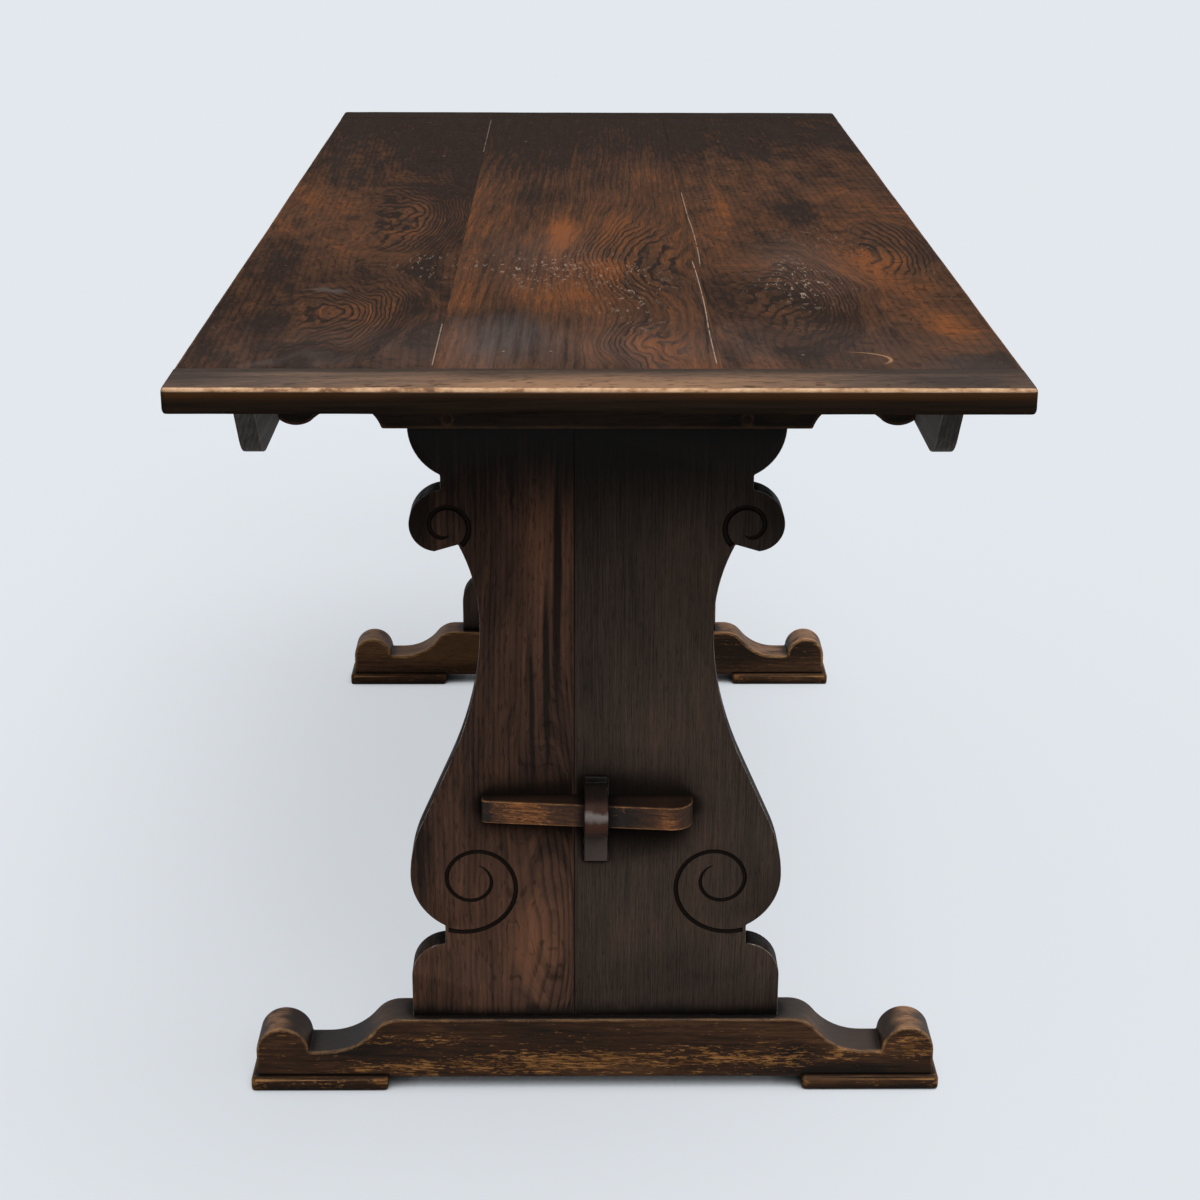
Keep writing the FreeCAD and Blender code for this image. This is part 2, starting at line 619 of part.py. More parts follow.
def glue_blocks_right():
    """Triangular blocks rubbed into the corner between the right-hand apron and the top."""
    blocks = []
    for index in range(GLUE_BLOCKS_PER_SIDE):
        y_from = (index - (GLUE_BLOCKS_PER_SIDE - 1) / 2) * GLUE_BLOCK_SPACING - GLUE_BLOCK_LENGTH / 2
        corner = Vector(APRON_INNER_X, y_from, TOP_UNDERSIDE)
        along_top = corner - X_AXIS * GLUE_BLOCK_LEG
        down_apron = corner - Z_AXIS * GLUE_BLOCK_LEG
        triangle = Part.Face(Part.makePolygon([corner, along_top, down_apron, corner]))
        blocks.append(triangle.extrude(Y_AXIS * GLUE_BLOCK_LENGTH))
    return blocks


# ---------------------------------------------------------------- fixings

def top_screw_axis():
    """Direction of a pocket screw: up from the bearer's inner face, leaning to the middle of the bearer."""
    tilt = math.radians(TOP_SCREW_TILT_DEG)
    return Vector(0, -math.sin(tilt), math.cos(tilt))


def top_screw_mouth(x):
    """Point where a pocket's axis meets the bearer's inner face."""
    return Vector(x, TRESTLE_Y + FRAME_THICK / 2, TOP_UNDERSIDE - TOP_SCREW_POCKET_DROP)


def top_screw(x, clearance):
    axis = top_screw_axis()
    seat = top_screw_mouth(x) + axis * TOP_SCREW_SEAT
    tip_z = TOP_UNDERSIDE + TOP_SCREW_BITE
    length = (tip_z - seat.z) / axis.z
    shank = Part.makeCylinder(SCREW_R + clearance, length, seat, axis)
    head = Part.makeCylinder(SCREW_HEAD_R, SCREW_HEAD_HEIGHT, seat - axis * SCREW_HEAD_HEIGHT, axis)
    return shank.fuse(head)


def top_screw_bore(x):
    """Pocket and clearance hole of a top screw, with the pilot hole in the plank above."""
    axis = top_screw_axis()
    pocket_length = POCKET_LEAD + TOP_SCREW_SEAT
    pocket_start = top_screw_mouth(x) - axis * POCKET_LEAD
    pocket = Part.makeCylinder(TOP_SCREW_POCKET_R, pocket_length, pocket_start, axis)
    return pocket.fuse(top_screw(x, FIXING_CLEARANCE))


def apron_screw(side, clearance):
    """Countersunk screw through an apron into the near bearer's end; side is -1 left or 1 right."""
    start = Vector(side * APRON_OUTER_X, TRESTLE_Y, TOP_UNDERSIDE - APRON_SCREW_DROP)
    inward = X_AXIS * -side
    head = Part.makeCone(SCREW_HEAD_R + clearance, SCREW_R + clearance, SCREW_HEAD_HEIGHT, start, inward)
    shank = Part.makeCylinder(SCREW_R + clearance, APRON_SCREW_LENGTH, start, inward)
    return head.fuse(shank)


def pad_nail_places():
    middle = (PAD_INNER_X + PAD_OUTER_X) / 2
    return [side * (middle + step) for side in (-1, 1) for step in (-NAIL_SPACING / 2, NAIL_SPACING / 2)]


def square_pin(x, width, z_from, z_to):
    half = width / 2
    return block(x - half, x + half, TRESTLE_Y - half, TRESTLE_Y + half, z_from, z_to)


def pad_nail(x):
    """Square cut nail driven up through a pad into the near foot, its head just below the pad's face."""
    head = square_pin(x, NAIL_HEAD_WIDTH, NAIL_SUNK, NAIL_SUNK + NAIL_HEAD_HEIGHT)
    return head.fuse(square_pin(x, NAIL_WIDTH, NAIL_SUNK, NAIL_SUNK + NAIL_LENGTH)).removeSplitter()


def pad_nail_hole(x):
    play = 2 * FIXING_CLEARANCE
    mouth = square_pin(x, NAIL_HEAD_WIDTH + play, 0, NAIL_SUNK + NAIL_HEAD_HEIGHT + FIXING_CLEARANCE)
    return mouth.fuse(square_pin(x, NAIL_WIDTH + play, 0, NAIL_SUNK + NAIL_LENGTH + FIXING_CLEARANCE))


# ---------------------------------------------------------------- the table

def build():
    os.makedirs("parts", exist_ok=True)

    blank = top_blank()
    left, middle, right = planks(blank)
    save("top_plank_left", [left])
    save("top_plank_middle", [middle])
    save("top_plank_right", [right])
    near_end_board = end_board(blank)
    save("end_board_near", [near_end_board])
    save("end_board_far", [half_turn(near_end_board)])

    rail = apron_right()
    save("apron_right", [rail])
    save("apron_left", [mirrored_in_x(rail)])
    blocks = glue_blocks_right()
    save("glue_blocks_right", blocks)
    save("glue_blocks_left", [mirrored_in_x(piece) for piece in blocks])

    narrow, wide = panel_boards()
    near_pieces = {
        "bearer": [bearer()],
        "panel_board_narrow": [narrow],
        "panel_board_wide": [wide],
        "foot": [foot()],
        "wedge_key": [wedge_key()],
        "bearer_pegs": [peg_cylinder(x, PEG_R, PEG_PROUD) for x in (-PEG_X, PEG_X)],
        "top_screws": [top_screw(x, 0) for x in TOP_SCREW_X],
        "apron_screws": [apron_screw(side, 0) for side in (-1, 1)],
        "pad_nails": [pad_nail(x) for x in pad_nail_places()],
    }
    for name, solids in near_pieces.items():
        save(name + "_near", solids)
        save(name + "_far", [half_turn(solid) for solid in solids])

    near_right_pad = pad_right()
    near_left_pad = mirrored_in_x(near_right_pad)
    save("foot_pad_near_right", [near_right_pad])
    save("foot_pad_near_left", [near_left_pad])
    save("foot_pad_far_right", [half_turn(near_left_pad)])
    save("foot_pad_far_left", [half_turn(near_right_pad)])

    save("stretcher", [stretcher()])


build()
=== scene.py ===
"""Trestle dining table in dark stained oak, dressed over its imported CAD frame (metres, Z up).

The table lies along Y with its near trestle at -Y. Sections follow the order in which a
joiner puts it together: the top, its aprons, the bearers, the carved panels, the feet and
pads, the stretcher, the wedge keys that lock it, and the screws.
"""

import math

import bmesh
import bpy
import numpy as np
from mathutils import Matrix, Vector
from mathutils.kdtree import KDTree


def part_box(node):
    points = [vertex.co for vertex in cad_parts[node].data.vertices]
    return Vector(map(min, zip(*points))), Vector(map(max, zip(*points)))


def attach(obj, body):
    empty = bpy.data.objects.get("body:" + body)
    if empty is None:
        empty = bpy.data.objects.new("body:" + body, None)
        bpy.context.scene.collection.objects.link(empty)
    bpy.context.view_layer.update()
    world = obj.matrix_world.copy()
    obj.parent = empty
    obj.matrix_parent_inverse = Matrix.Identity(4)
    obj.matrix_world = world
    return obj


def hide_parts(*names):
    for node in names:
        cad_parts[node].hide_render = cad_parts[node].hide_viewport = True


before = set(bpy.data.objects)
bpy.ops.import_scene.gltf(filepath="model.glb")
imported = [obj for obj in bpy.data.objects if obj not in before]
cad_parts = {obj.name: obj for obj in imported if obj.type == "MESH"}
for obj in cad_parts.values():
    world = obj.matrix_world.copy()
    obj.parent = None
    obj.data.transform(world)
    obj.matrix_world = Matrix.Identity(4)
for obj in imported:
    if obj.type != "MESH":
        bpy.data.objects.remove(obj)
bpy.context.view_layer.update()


# ---------------------------------------------------------------- camera
# A long lens stands in front of the near end, a little above the top, and looks down at it.
# Its pitch, yaw and roll are in radians, from level and straight along the table.
CAMERA_PLACE = (-0.01905, -2.48901, 1.21549)
CAMERA_PITCH = 0.34921
CAMERA_YAW = 0.01130
CAMERA_ROLL = 0.00367
CAMERA_LENS = 68.495


def placed(name, data):
    """A new object that holds the data, linked into the scene."""
    made = bpy.data.objects.new(name, data)
    bpy.context.scene.collection.objects.link(made)
    return made


forward = Vector((math.sin(CAMERA_YAW) * math.cos(CAMERA_PITCH),
                  math.cos(CAMERA_YAW) * math.cos(CAMERA_PITCH),
                  -math.sin(CAMERA_PITCH)))
level = Vector((math.cos(CAMERA_YAW), -math.sin(CAMERA_YAW), 0.0))
upright = level.cross(forward)
side = level * math.cos(CAMERA_ROLL) + upright * math.sin(CAMERA_ROLL)
upright = upright * math.cos(CAMERA_ROLL) - level * math.sin(CAMERA_ROLL)

camera_data = bpy.data.cameras.new("camera")
camera_data.lens = CAMERA_LENS
camera_data.clip_end = 200.0
camera = placed("camera", camera_data)
axes = Matrix((side, upright, -forward)).transposed()
camera.matrix_world = Matrix.Translation(CAMERA_PLACE) @ axes.to_4x4()
bpy.context.scene.camera = camera
bpy.context.scene.view_settings.view_transform = "Standard"


# ---------------------------------------------------------------- studio
# A plain pale floor under a bright ceiling: most light falls from above, the horizon is
# dim, and one broad soft lamp from the front reaches in under the top.
FLOOR_HALF = 40.0
PALE = (0.753, 0.791, 0.839, 1.0)
FLOOR_BOUNCE = (0.20, 0.205, 0.215, 1.0)
FLOOR_KEPT_SHADOW = 0.30
PAINTED_CONTACT_SHADOW = (0.12, 0.125, 0.13)
CONTACT_REACH = 0.030
CONTACT_SHADE = (0.50, 0.15)
CONTACT_GLOW = (0.20, 0.80)
CEILING_LIGHT = 0.62
HORIZON_LIGHT = 0.12


class Finish:
    """A material in the making: node adds any node, and the other methods give back a socket."""

    def __init__(self, name, tree=None):
        if tree is None:
            self.material = bpy.data.materials.new(name)
            self.material.use_nodes = True
            tree = self.material.node_tree
        self.tree = tree
        self.tree.nodes.clear()

    def node(self, kind, inputs, **settings):
        """One node: settings are its own properties, inputs are sockets to link or plain values."""
        made = self.tree.nodes.new(kind)
        for key, value in settings.items():
            setattr(made, key, value)
        for key, value in inputs.items():
            if isinstance(value, bpy.types.NodeSocket):
                self.tree.links.new(value, made.inputs[key])
            else:
                made.inputs[key].default_value = value
        return made

    def maths(self, operation, *values, clamp=False):
        """Arithmetic on plain values, kept between 0 and 1 when clamped."""
        return self.node("ShaderNodeMath", dict(enumerate(values)),
                         operation=operation, use_clamp=clamp).outputs[0]

    def times(self, product, *factors):
        """The product of two or more values."""
        for factor in factors:
            product = self.maths("MULTIPLY", product, factor)
        return product

    def vector(self, operation, *values):
        """Arithmetic on vectors: a vector, or a plain value for a length."""
        made = self.node("ShaderNodeVectorMath", dict(enumerate(values)), operation=operation)
        return made.outputs["Value" if operation == "LENGTH" else "Vector"]

    def noise(self, place, stretch, detail=2.0, rough=0.5):
        """Smooth noise from 0 to 1 over a place, with its cells per metre along each axis."""
        scaled = self.vector("MULTIPLY", place, stretch)
        return self.node("ShaderNodeTexNoise", {"Vector": scaled, "Scale": 1.0, "Detail": detail,
                                                "Roughness": rough}).outputs[0]

    def openness(self, reach, samples=6, inside=False):
        """How open a point is within a reach: low in a nook or, looking inside, low on an arris."""
        return self.node("ShaderNodeAmbientOcclusion", {"Distance": reach},
                         samples=samples, inside=inside).outputs["AO"]

    def ramp(self, value, low, high, at_low=0.0, at_high=1.0):
        """Value eased from at_low to at_high while it passes from low to high."""
        return self.node("ShaderNodeMapRange", {0: value, 1: low, 2: high, 3: at_low, 4: at_high},
                         interpolation_type="SMOOTHSTEP").outputs[0]

    def tones(self, value, *stops):
        """A colour read off a scale of (place, colour) stops."""
        scale = self.node("ShaderNodeValToRGB", {0: value})
        elements = scale.color_ramp.elements
        while len(elements) < len(stops):
            elements.new(0.5)
        for element, (place, colour) in zip(elements, stops):
            element.position = place
            element.color = (*colour, 1.0)
        return scale.outputs[0]

    def cover(self, under, amount, over):
        """One colour laid over another by an amount from 0 to 1."""
        over = over if isinstance(over, bpy.types.NodeSocket) else (*over, 1.0)
        return self.node("ShaderNodeMix", {0: amount, 6: under, 7: over},
                         data_type="RGBA", clamp_factor=True).outputs[2]


world = bpy.data.worlds.new("studio")
world.use_nodes = True
bpy.context.scene.world = world
sky = Finish("studio", world.node_tree)
rays = sky.node("ShaderNodeLightPath", {}).outputs
shown = sky.maths("MAXIMUM", rays["Is Camera Ray"], rays["Is Glossy Ray"])
shown = sky.maths("MAXIMUM", shown, rays["Is Transmission Ray"])
direction = sky.node("ShaderNodeTexCoord", {}).outputs["Generated"]
height = sky.node("ShaderNodeSeparateXYZ", {0: direction}).outputs["Z"]
ceiling = sky.ramp(height, 0.2, 1.0, HORIZON_LIGHT, CEILING_LIGHT)
light = sky.node("ShaderNodeBackground", {0: (1.0, 0.99, 0.97, 1.0), 1: ceiling})
backdrop = sky.node("ShaderNodeBackground", {0: PALE, 1: 1.0})
mixed = sky.node("ShaderNodeMixShader", {0: shown, 1: light.outputs[0], 2: backdrop.outputs[0]})
sky.node("ShaderNodeOutputWorld", {0: mixed.outputs[0]})


def soft_lamp(name, strength, elevation, azimuth, spread):
    """A far, broad lamp: elevation above the floor and azimuth from the front, in degrees."""
    data = bpy.data.lights.new(name, "SUN")
    data.energy = strength
    data.angle = math.radians(spread)
    lamp = placed(name, data)
    lift, turn = math.radians(elevation), math.radians(azimuth)
    towards = Vector((math.cos(lift) * math.sin(turn), -math.cos(lift) * math.cos(turn), math.sin(lift)))
    lamp.rotation_euler = towards.to_track_quat("Z", "Y").to_euler()


soft_lamp("ceiling_lamp", strength=1.26, elevation=76, azimuth=80, spread=36)
soft_lamp("front_lamp", strength=1.22, elevation=42, azimuth=14, spread=36)

floor_mesh = bpy.data.meshes.new("floor")
floor_mesh.from_pydata([(-FLOOR_HALF, -FLOOR_HALF, 0), (FLOOR_HALF, -FLOOR_HALF, 0),
                        (FLOOR_HALF, FLOOR_HALF, 0), (-FLOOR_HALF, FLOOR_HALF, 0)], [], [(0, 1, 2, 3)])
floor = placed("floor", floor_mesh)
paper = Finish("floor_paper")
rays = paper.node("ShaderNodeLightPath", {}).outputs
shown = paper.maths("MAXIMUM", rays["Is Camera Ray"], rays["Is Glossy Ray"])
glow = paper.node("ShaderNodeEmission", {0: PALE, 1: 1.0})
# Painted shadow: close to the object the paper's own colour is darkened towards grey, as a contact shadow
# under the feet.
clear = paper.openness(CONTACT_REACH, samples=8)
paper_with_painted_shadow = paper.cover(PALE, paper.ramp(clear, *CONTACT_SHADE), PAINTED_CONTACT_SHADOW)
matt = paper.node("ShaderNodeBsdfDiffuse", {0: paper.cover(FLOOR_BOUNCE, shown, paper_with_painted_shadow)})
glow_share = paper.times(shown, paper.ramp(clear, *CONTACT_GLOW, 0.0, 1.0 - FLOOR_KEPT_SHADOW))
lifted = paper.node("ShaderNodeMixShader", {0: glow_share, 1: matt.outputs[0], 2: glow.outputs[0]})
paper.node("ShaderNodeOutputMaterial", {0: lifted.outputs[0]})
floor_mesh.materials.append(paper.material)


# ---------------------------------------------------------------- top boards
# Three planks tongued into an end board at each end, all oak, 22 mm thick. Their rim is
# eased and worn, and each joint is a fine open line between two barely eased arrises.
LEFT_PLANK_WIDTH = 0.209
MIDDLE_PLANK_WIDTH = 0.234
RIM_ARRIS = 0.0032
JOINT_ARRIS = 0.0005
RIM_CORNER = 0.005
BOARD_STEP = 0.006
END_STRIP = 0.012
FACE_WAVER = 0.00012
ARRIS_WAVER = 0.00022

DARK_OAK = (0.012, 0.0085, 0.0065)
BROWN_OAK = (0.060, 0.031, 0.019)
WARM_OAK = (0.155, 0.074, 0.040)
BARE_OAK = (0.34, 0.19, 0.10)


def wander(along, strand, seed, waves=9, longest=0.5):
    """A smooth random line, mostly between -1 and 1, that changes slowly from strand to strand.

    It is a sum of sines of random phase, each 0.62 as long and 0.8 as high as the one before.
    """
    chance = np.random.default_rng(seed)
    total = np.zeros(np.broadcast(along, strand).shape)
    weight = 0.0
    for wave in range(waves):
        pitch = 2 * math.pi / (longest * 0.62 ** wave)
        share = 0.8 ** wave
        phase, turn = chance.uniform(0, 2 * math.pi, 2)
        total = total + share * np.sin(pitch * along + phase + turn * strand)
        weight += share
    return total / weight * 1.6


def shaped(name, points, faces, material):
    """A mesh object at the origin from a grid of points and a list of faces."""
    mesh = bpy.data.meshes.new(name)
    mesh.from_pydata(points.reshape(-1, 3).tolist(), [], faces)
    mesh.materials.append(material)
    return placed(name, mesh)


def tube_faces(rows, around):
    """Quads between the rings of a closed tube, and one face to shut each end."""
    row, column = np.meshgrid(np.arange(rows - 1), np.arange(around), indexing="ij")
    beside = (column + 1) % around
    sides = np.stack([row * around + column, row * around + beside,
                      (row + 1) * around + beside, (row + 1) * around + column], -1)
    ends = [list(range(around))[::-1], list(range((rows - 1) * around, rows * around))]
    return sides.reshape(-1, 4).tolist() + ends


def shade_by_angle(mesh, degrees=32):
    """Smooth shading with a crisp line wherever two faces meet at more than the angle."""
    mesh.polygons.foreach_set("use_smooth", np.ones(len(mesh.polygons), bool))
    mesh.set_sharp_from_angle(angle=math.radians(degrees))


def drawn_in(radius, from_end):
    """How far a quarter round of the radius draws a side in, at a distance from its end."""
    return radius - np.sqrt(np.maximum(radius ** 2 - np.maximum(radius - from_end, 0) ** 2, 0))


def board(name, low, high, run, eases, end_ease, corners, material, seed, body="table"):
    """A planed board: a rounded rectangle carried along its run, drawn in at both ends.

    The section goes round four sides with an arris radius at each corner, in the order bottom
    low, bottom high, top high, top low. At a distance t from an end the section shrinks by
    r - sqrt(r^2 - (r - t)^2), for the end's arris and, on the rim side, for its corner in plan.
    The rim's arrises and the faces waver by fractions of a millimetre inwards.
    """
    across = 1 - run
    width = high[across] - low[across]
    thick = high[2] - low[2]
    steps = max(2, int(width / BOARD_STEP))
    section = []
    for corner, (sign_u, sign_v) in enumerate(((-1, -1), (1, -1), (1, 1), (-1, 1))):
        ease = eases[corner]
        start = math.pi + corner * math.pi / 2
        turn = np.linspace(start, start + math.pi / 2, 5)
        section.append(np.broadcast_arrays(
            sign_u * (width / 2 - ease), sign_v * (thick / 2 - ease),
            ease * np.cos(turn), ease * np.sin(turn), ease > 2 * JOINT_ARRIS))
        if corner in (0, 2):
            reach = width - 2 * max(ease, eases[(corner + 1) % 4])
            place = np.linspace(-0.5, 0.5, steps + 1)[1:-1]
            section.append(np.broadcast_arrays(-sign_u * place * reach, sign_v * thick / 2, 0, 0, 0))
    centre_u, centre_v, out_u, out_v, rim = np.concatenate(section, axis=1)
    u, v = centre_u + out_u, centre_v + out_v

    length = high[run] - low[run]
    near_end = end_ease * (1 - np.cos(np.linspace(0, math.pi / 2, 6)))
    near_corner = np.linspace(end_ease, RIM_CORNER * 1.4, 4)
    stations = np.unique(np.round(np.concatenate([
        near_end, near_corner, np.arange(END_STRIP, length - END_STRIP, BOARD_STEP),
        length - near_corner, length - near_end]), 7))
    from_end = np.minimum(stations, length - stations)[:, None]
    drawn = drawn_in(end_ease, from_end)
    grid_v = v[None, :] * (1 - drawn / (thick / 2))
    corner_in = drawn_in(RIM_CORNER, from_end)
    side_low = np.where(corners[0], corner_in, 0.0)
    side_high = np.where(corners[1], corner_in, 0.0)
    share = (u[None, :] + width / 2) / width
    grid_u = u[None, :] + side_low * (1 - share) - side_high * share
    grid_run = np.broadcast_to(stations[:, None], grid_u.shape)

    sag = np.minimum(FACE_WAVER * (wander(grid_run, grid_u * 9, seed) - 1.2), 0.0)
    grid_v = grid_v + np.where(grid_v > 0, sag, 0.0)
    line = wander(grid_run, np.sign(v)[None, :] * 3.0, seed + 1, waves=7, longest=0.9)
    worn = rim[None, :] * ARRIS_WAVER * (line - 1.5)
    span = np.maximum(np.hypot(out_u, out_v)[None, :], 1e-6)
    grid_u = grid_u + worn * out_u / span
    grid_v = grid_v + worn * out_v / span

    points = np.zeros(grid_u.shape + (3,))
    points[..., across] = grid_u + (low[across] + high[across]) / 2
    points[..., run] = grid_run + low[run]
    points[..., 2] = grid_v + (low[2] + high[2]) / 2
    faces = tube_faces(*grid_u.shape)
    if run == 1:
        faces = [face[::-1] for face in faces]
    piece = shaped(name, points, faces, material)
    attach(piece, body)
    shade_by_angle(piece.data)
    return piece


RING_JITTER = 0.0060
NOOK_REACH = 0.018
GRAIN_RELIEF = 0.0006


def stained_oak(name, axes, place, pith, rings=240.0, taper=0.03, waver=0.016, figure=0.15,
                swirls=(), swirled=0.62, spots=(), tones=(DARK_OAK, BROWN_OAK, WARM_OAK), depth=0.5,
                patchy=0.45, patch_size=(8.0, 2.4), drift=(0.012, 0.05),
                streaky=0.20, streak_size=(150.0, 5.0), fibrous=0.14, fibre_size=(430.0, 26.0),
                pored=0.5, bare=0.0, bare_reach=0.005, bare_tones=(WARM_OAK, BARE_OAK),
                nook_shade=0.0, gloss=0.50, sheen=0.05):
    """Stained oak: smoky stain in patches, streaks, growth rings, pores, arrises worn bare, and painted
    shade in its nooks.

    axes are the letters of the across, depth and along directions. The ring number is the
    distance to the pith line, which leans by taper, plus a slow waver and the swirls, each
    (across, along, half across, half along, rise) in metres; figure is how plainly the rings
    show outside the swirls. Spots, given the same way, are patches of a warmer or, below
    zero, a darker tone. Sizes of patches, streaks and fibres are cells per metre, across and
    along; depth is the middle tone, from 0 at the darkest to 1.
    """
    oak = Finish(name)
    spot_on_table = oak.node("ShaderNodeTexCoord", {}).outputs["Object"]
    parts = oak.node("ShaderNodeSeparateXYZ", {0: spot_on_table}).outputs
    across, inward, along = (parts["XYZ".index(letter.upper())] for letter in axes)
    turned = oak.node("ShaderNodeCombineXYZ", {0: across, 1: inward, 2: along}).outputs[0]
    moved = oak.vector("ADD", turned, place)
    wisps = oak.node("ShaderNodeTexNoise", {"Vector": oak.vector("MULTIPLY", moved, (13.0, 13.0, 5.0)),
                                            "Scale": 1.0, "Detail": 3.0, "Roughness": 0.6})
    centred = oak.vector("SUBTRACT", wisps.outputs["Color"], (0.5, 0.5, 0.5))
    shift = oak.vector("MULTIPLY", centred, (drift[0], 0.0, drift[1]))
    drifted = oak.vector("ADD", turned, shift)

    def hump(spot):
        """1 in the middle of a spot, easing to 0 at its edge, which the wisps make ragged."""
        middle = (spot[0], 0.0, spot[1])
        scale = (1 / spot[2], 0.0, 1 / spot[3])
        far = oak.vector("LENGTH", oak.vector("MULTIPLY", oak.vector("SUBTRACT", drifted, middle), scale))
        return oak.ramp(far, 1.0, 0.0)

    slow = oak.noise(moved, (6.0, 6.0, 1.6), 3.0)
    lean = oak.maths("MULTIPLY_ADD", along, taper, pith[1])
    from_pith = oak.node("ShaderNodeCombineXYZ", {0: oak.maths("SUBTRACT", across, pith[0]),
                                                  1: oak.maths("SUBTRACT", inward, lean)}).outputs[0]
    radius = oak.maths("MULTIPLY_ADD", slow, waver, oak.vector("LENGTH", from_pith))
    shown_rings = figure
    for swirl in swirls:
        rise = hump(swirl)
        radius = oak.maths("MULTIPLY_ADD", rise, swirl[4], radius)
        shown_rings = oak.maths("MAXIMUM", shown_rings, oak.ramp(rise, 0.05, 0.6, 0.0, swirled))
    jitter = oak.noise(moved, (30.0, 30.0, 9.0), 4.0, 0.6)
    radius = oak.maths("MULTIPLY_ADD", jitter, RING_JITTER, radius)
    phase = oak.maths("FRACT", oak.times(radius, rings))
    line = oak.maths("ADD", oak.ramp(phase, 0.45, 0.08), oak.ramp(phase, 0.90, 1.0))
    ring = oak.times(line, shown_rings)

    flowing = oak.node("ShaderNodeCombineXYZ", {0: oak.maths("MULTIPLY_ADD", across, 0.6, radius),
                                                1: inward, 2: along}).outputs[0]
    flow = oak.vector("ADD", flowing, place)
    fibre = oak.noise(flow, (fibre_size[0], fibre_size[0], fibre_size[1]), 4.0, 0.65)
    streak = oak.noise(flow, (streak_size[0], streak_size[0], streak_size[1]), 4.0, 0.65)
    patch = oak.noise(moved, (patch_size[0], patch_size[0], patch_size[1]), 5.0, 0.60)
    pores = oak.ramp(oak.noise(flow, (1200.0, 1200.0, 80.0), 2.0), 0.56, 0.68)

    tone = oak.maths("MULTIPLY_ADD", ring, -0.55, depth - patchy - streaky - fibrous)
    tone = oak.maths("MULTIPLY_ADD", fibre, 2 * fibrous, tone)
    tone = oak.maths("MULTIPLY_ADD", streak, 2 * streaky, tone)
    tone = oak.maths("MULTIPLY_ADD", patch, 2 * patchy, tone)
    for spot in spots:
        uneven = oak.ramp(patch, 0.25, 0.6, 0.45, 1.15)
        tone = oak.maths("MULTIPLY_ADD", oak.times(hump(spot), uneven), spot[4], tone)
    colour = oak.tones(tone, (0.20, tones[0]), (0.50, tones[1]), (0.85, tones[2]))
    colour = oak.cover(colour, oak.times(pores, pored), DARK_OAK)

    inside = oak.openness(bare_reach, inside=True)
    rub = oak.noise(moved, (70.0, 70.0, 22.0), 4.0, 0.65)
    edge = oak.ramp(oak.maths("MULTIPLY_ADD", rub, -0.55, inside), 0.53, 0.38)
    worn = oak.maths("MULTIPLY", edge, bare, clamp=True)
    colour = oak.cover(colour, worn, oak.tones(fibre, (0.3, bare_tones[0]), (0.75, bare_tones[1])))
    # Painted shade: the darkest stain is laid into nooks, wherever the surface is hemmed in within
    # NOOK_REACH.
    if nook_shade:
        nook = oak.ramp(oak.openness(NOOK_REACH), 0.75, 0.25)
        colour = oak.cover(colour, oak.times(nook, nook_shade), DARK_OAK)

    relief = oak.maths("MULTIPLY_ADD", ring, -0.3, oak.times(fibre, 0.5))
    relief = oak.maths("MULTIPLY_ADD", pores, -0.8, relief)
    bump = oak.node("ShaderNodeBump", {"Strength": 0.35, "Distance": GRAIN_RELIEF,
                                       "Height": relief}).outputs[0]
    rough = oak.ramp(oak.maths("MULTIPLY_ADD", worn, 0.4, streak), 0.2, 1.0, gloss - 0.06, gloss + 0.16)
    normal = oak.node("ShaderNodeNewGeometry", {}).outputs["Normal"]
    facing = oak.node("ShaderNodeSeparateXYZ", {0: normal}).outputs
    oak.upward = oak.ramp(facing["Z"], 0.35, 0.85)
    oak.across, oak.inward, oak.along = across, inward, along
    oak.turned, oak.moved, oak.flow, oak.hump = turned, moved, flow, hump
    oak.edge, oak.worn, oak.patch = edge, worn, patch
    oak.fibre, oak.rub, oak.streak = fibre, rub, streak
    oak.colour = colour
    oak.skin = oak.node("ShaderNodeBsdfPrincipled", {"Base Color": colour, "Roughness": rough,
                                                     "Normal": bump, "Specular IOR Level": sheen})
    oak.node("ShaderNodeOutputMaterial", {0: oak.skin.outputs[0]})
    return oak


def lay(oak, amount, over):
    """Lays a colour over the finish by an amount from 0 to 1."""
    oak.colour = oak.cover(oak.colour, amount, over)
    oak.tree.links.new(oak.colour, oak.skin.inputs["Base Color"])


TOP_TONES = ((0.028, 0.018, 0.014), (0.092, 0.044, 0.025), (0.235, 0.080, 0.028))
TOP_EDGE = (0.036, 0.023, 0.015)
EDGE_GLOW = (0.080, 0.034, 0.012)
NEAR_SHEEN = (0.0, -0.64, 0.60, 0.16, 0.30)
SHEEN_GREY = (0.120, 0.098, 0.092)
SCRATCH_AND_GLINT = (0.42, 0.31, 0.24)
RIM_BAND = (0.0038, 0.0026)
STAINED_BELOW = (0.0030, 0.0048)
EDGE_GLOW_BAND = (0.0125, 0.0045)
FOOT_LINE = (0.0030, 0.0012)
FAINT_GLINTS_AND_MARKS = 0.04
NEAR_RIM_DEPTH = 0.0044
SIDE_RIM_DEPTH = 0.0036
WORN_SIDE = ((0.130, 0.060, 0.030), (0.340, 0.160, 0.075))
RIM_WEAR_AND_HIGHLIGHT = ((0.40, 0.195, 0.095), (0.76, 0.50, 0.305))
END_TONES = ((0.058, 0.042, 0.034), (0.138, 0.090, 0.065), (0.300, 0.175, 0.108))


def raised(oak, value, spots, share=1.0):
    """The value raised round each spot by a share of the spot's strength."""
    for spot in spots:
        value = oak.maths("MULTIPLY_ADD", oak.hump(spot), spot[4] * share, value)
    return value


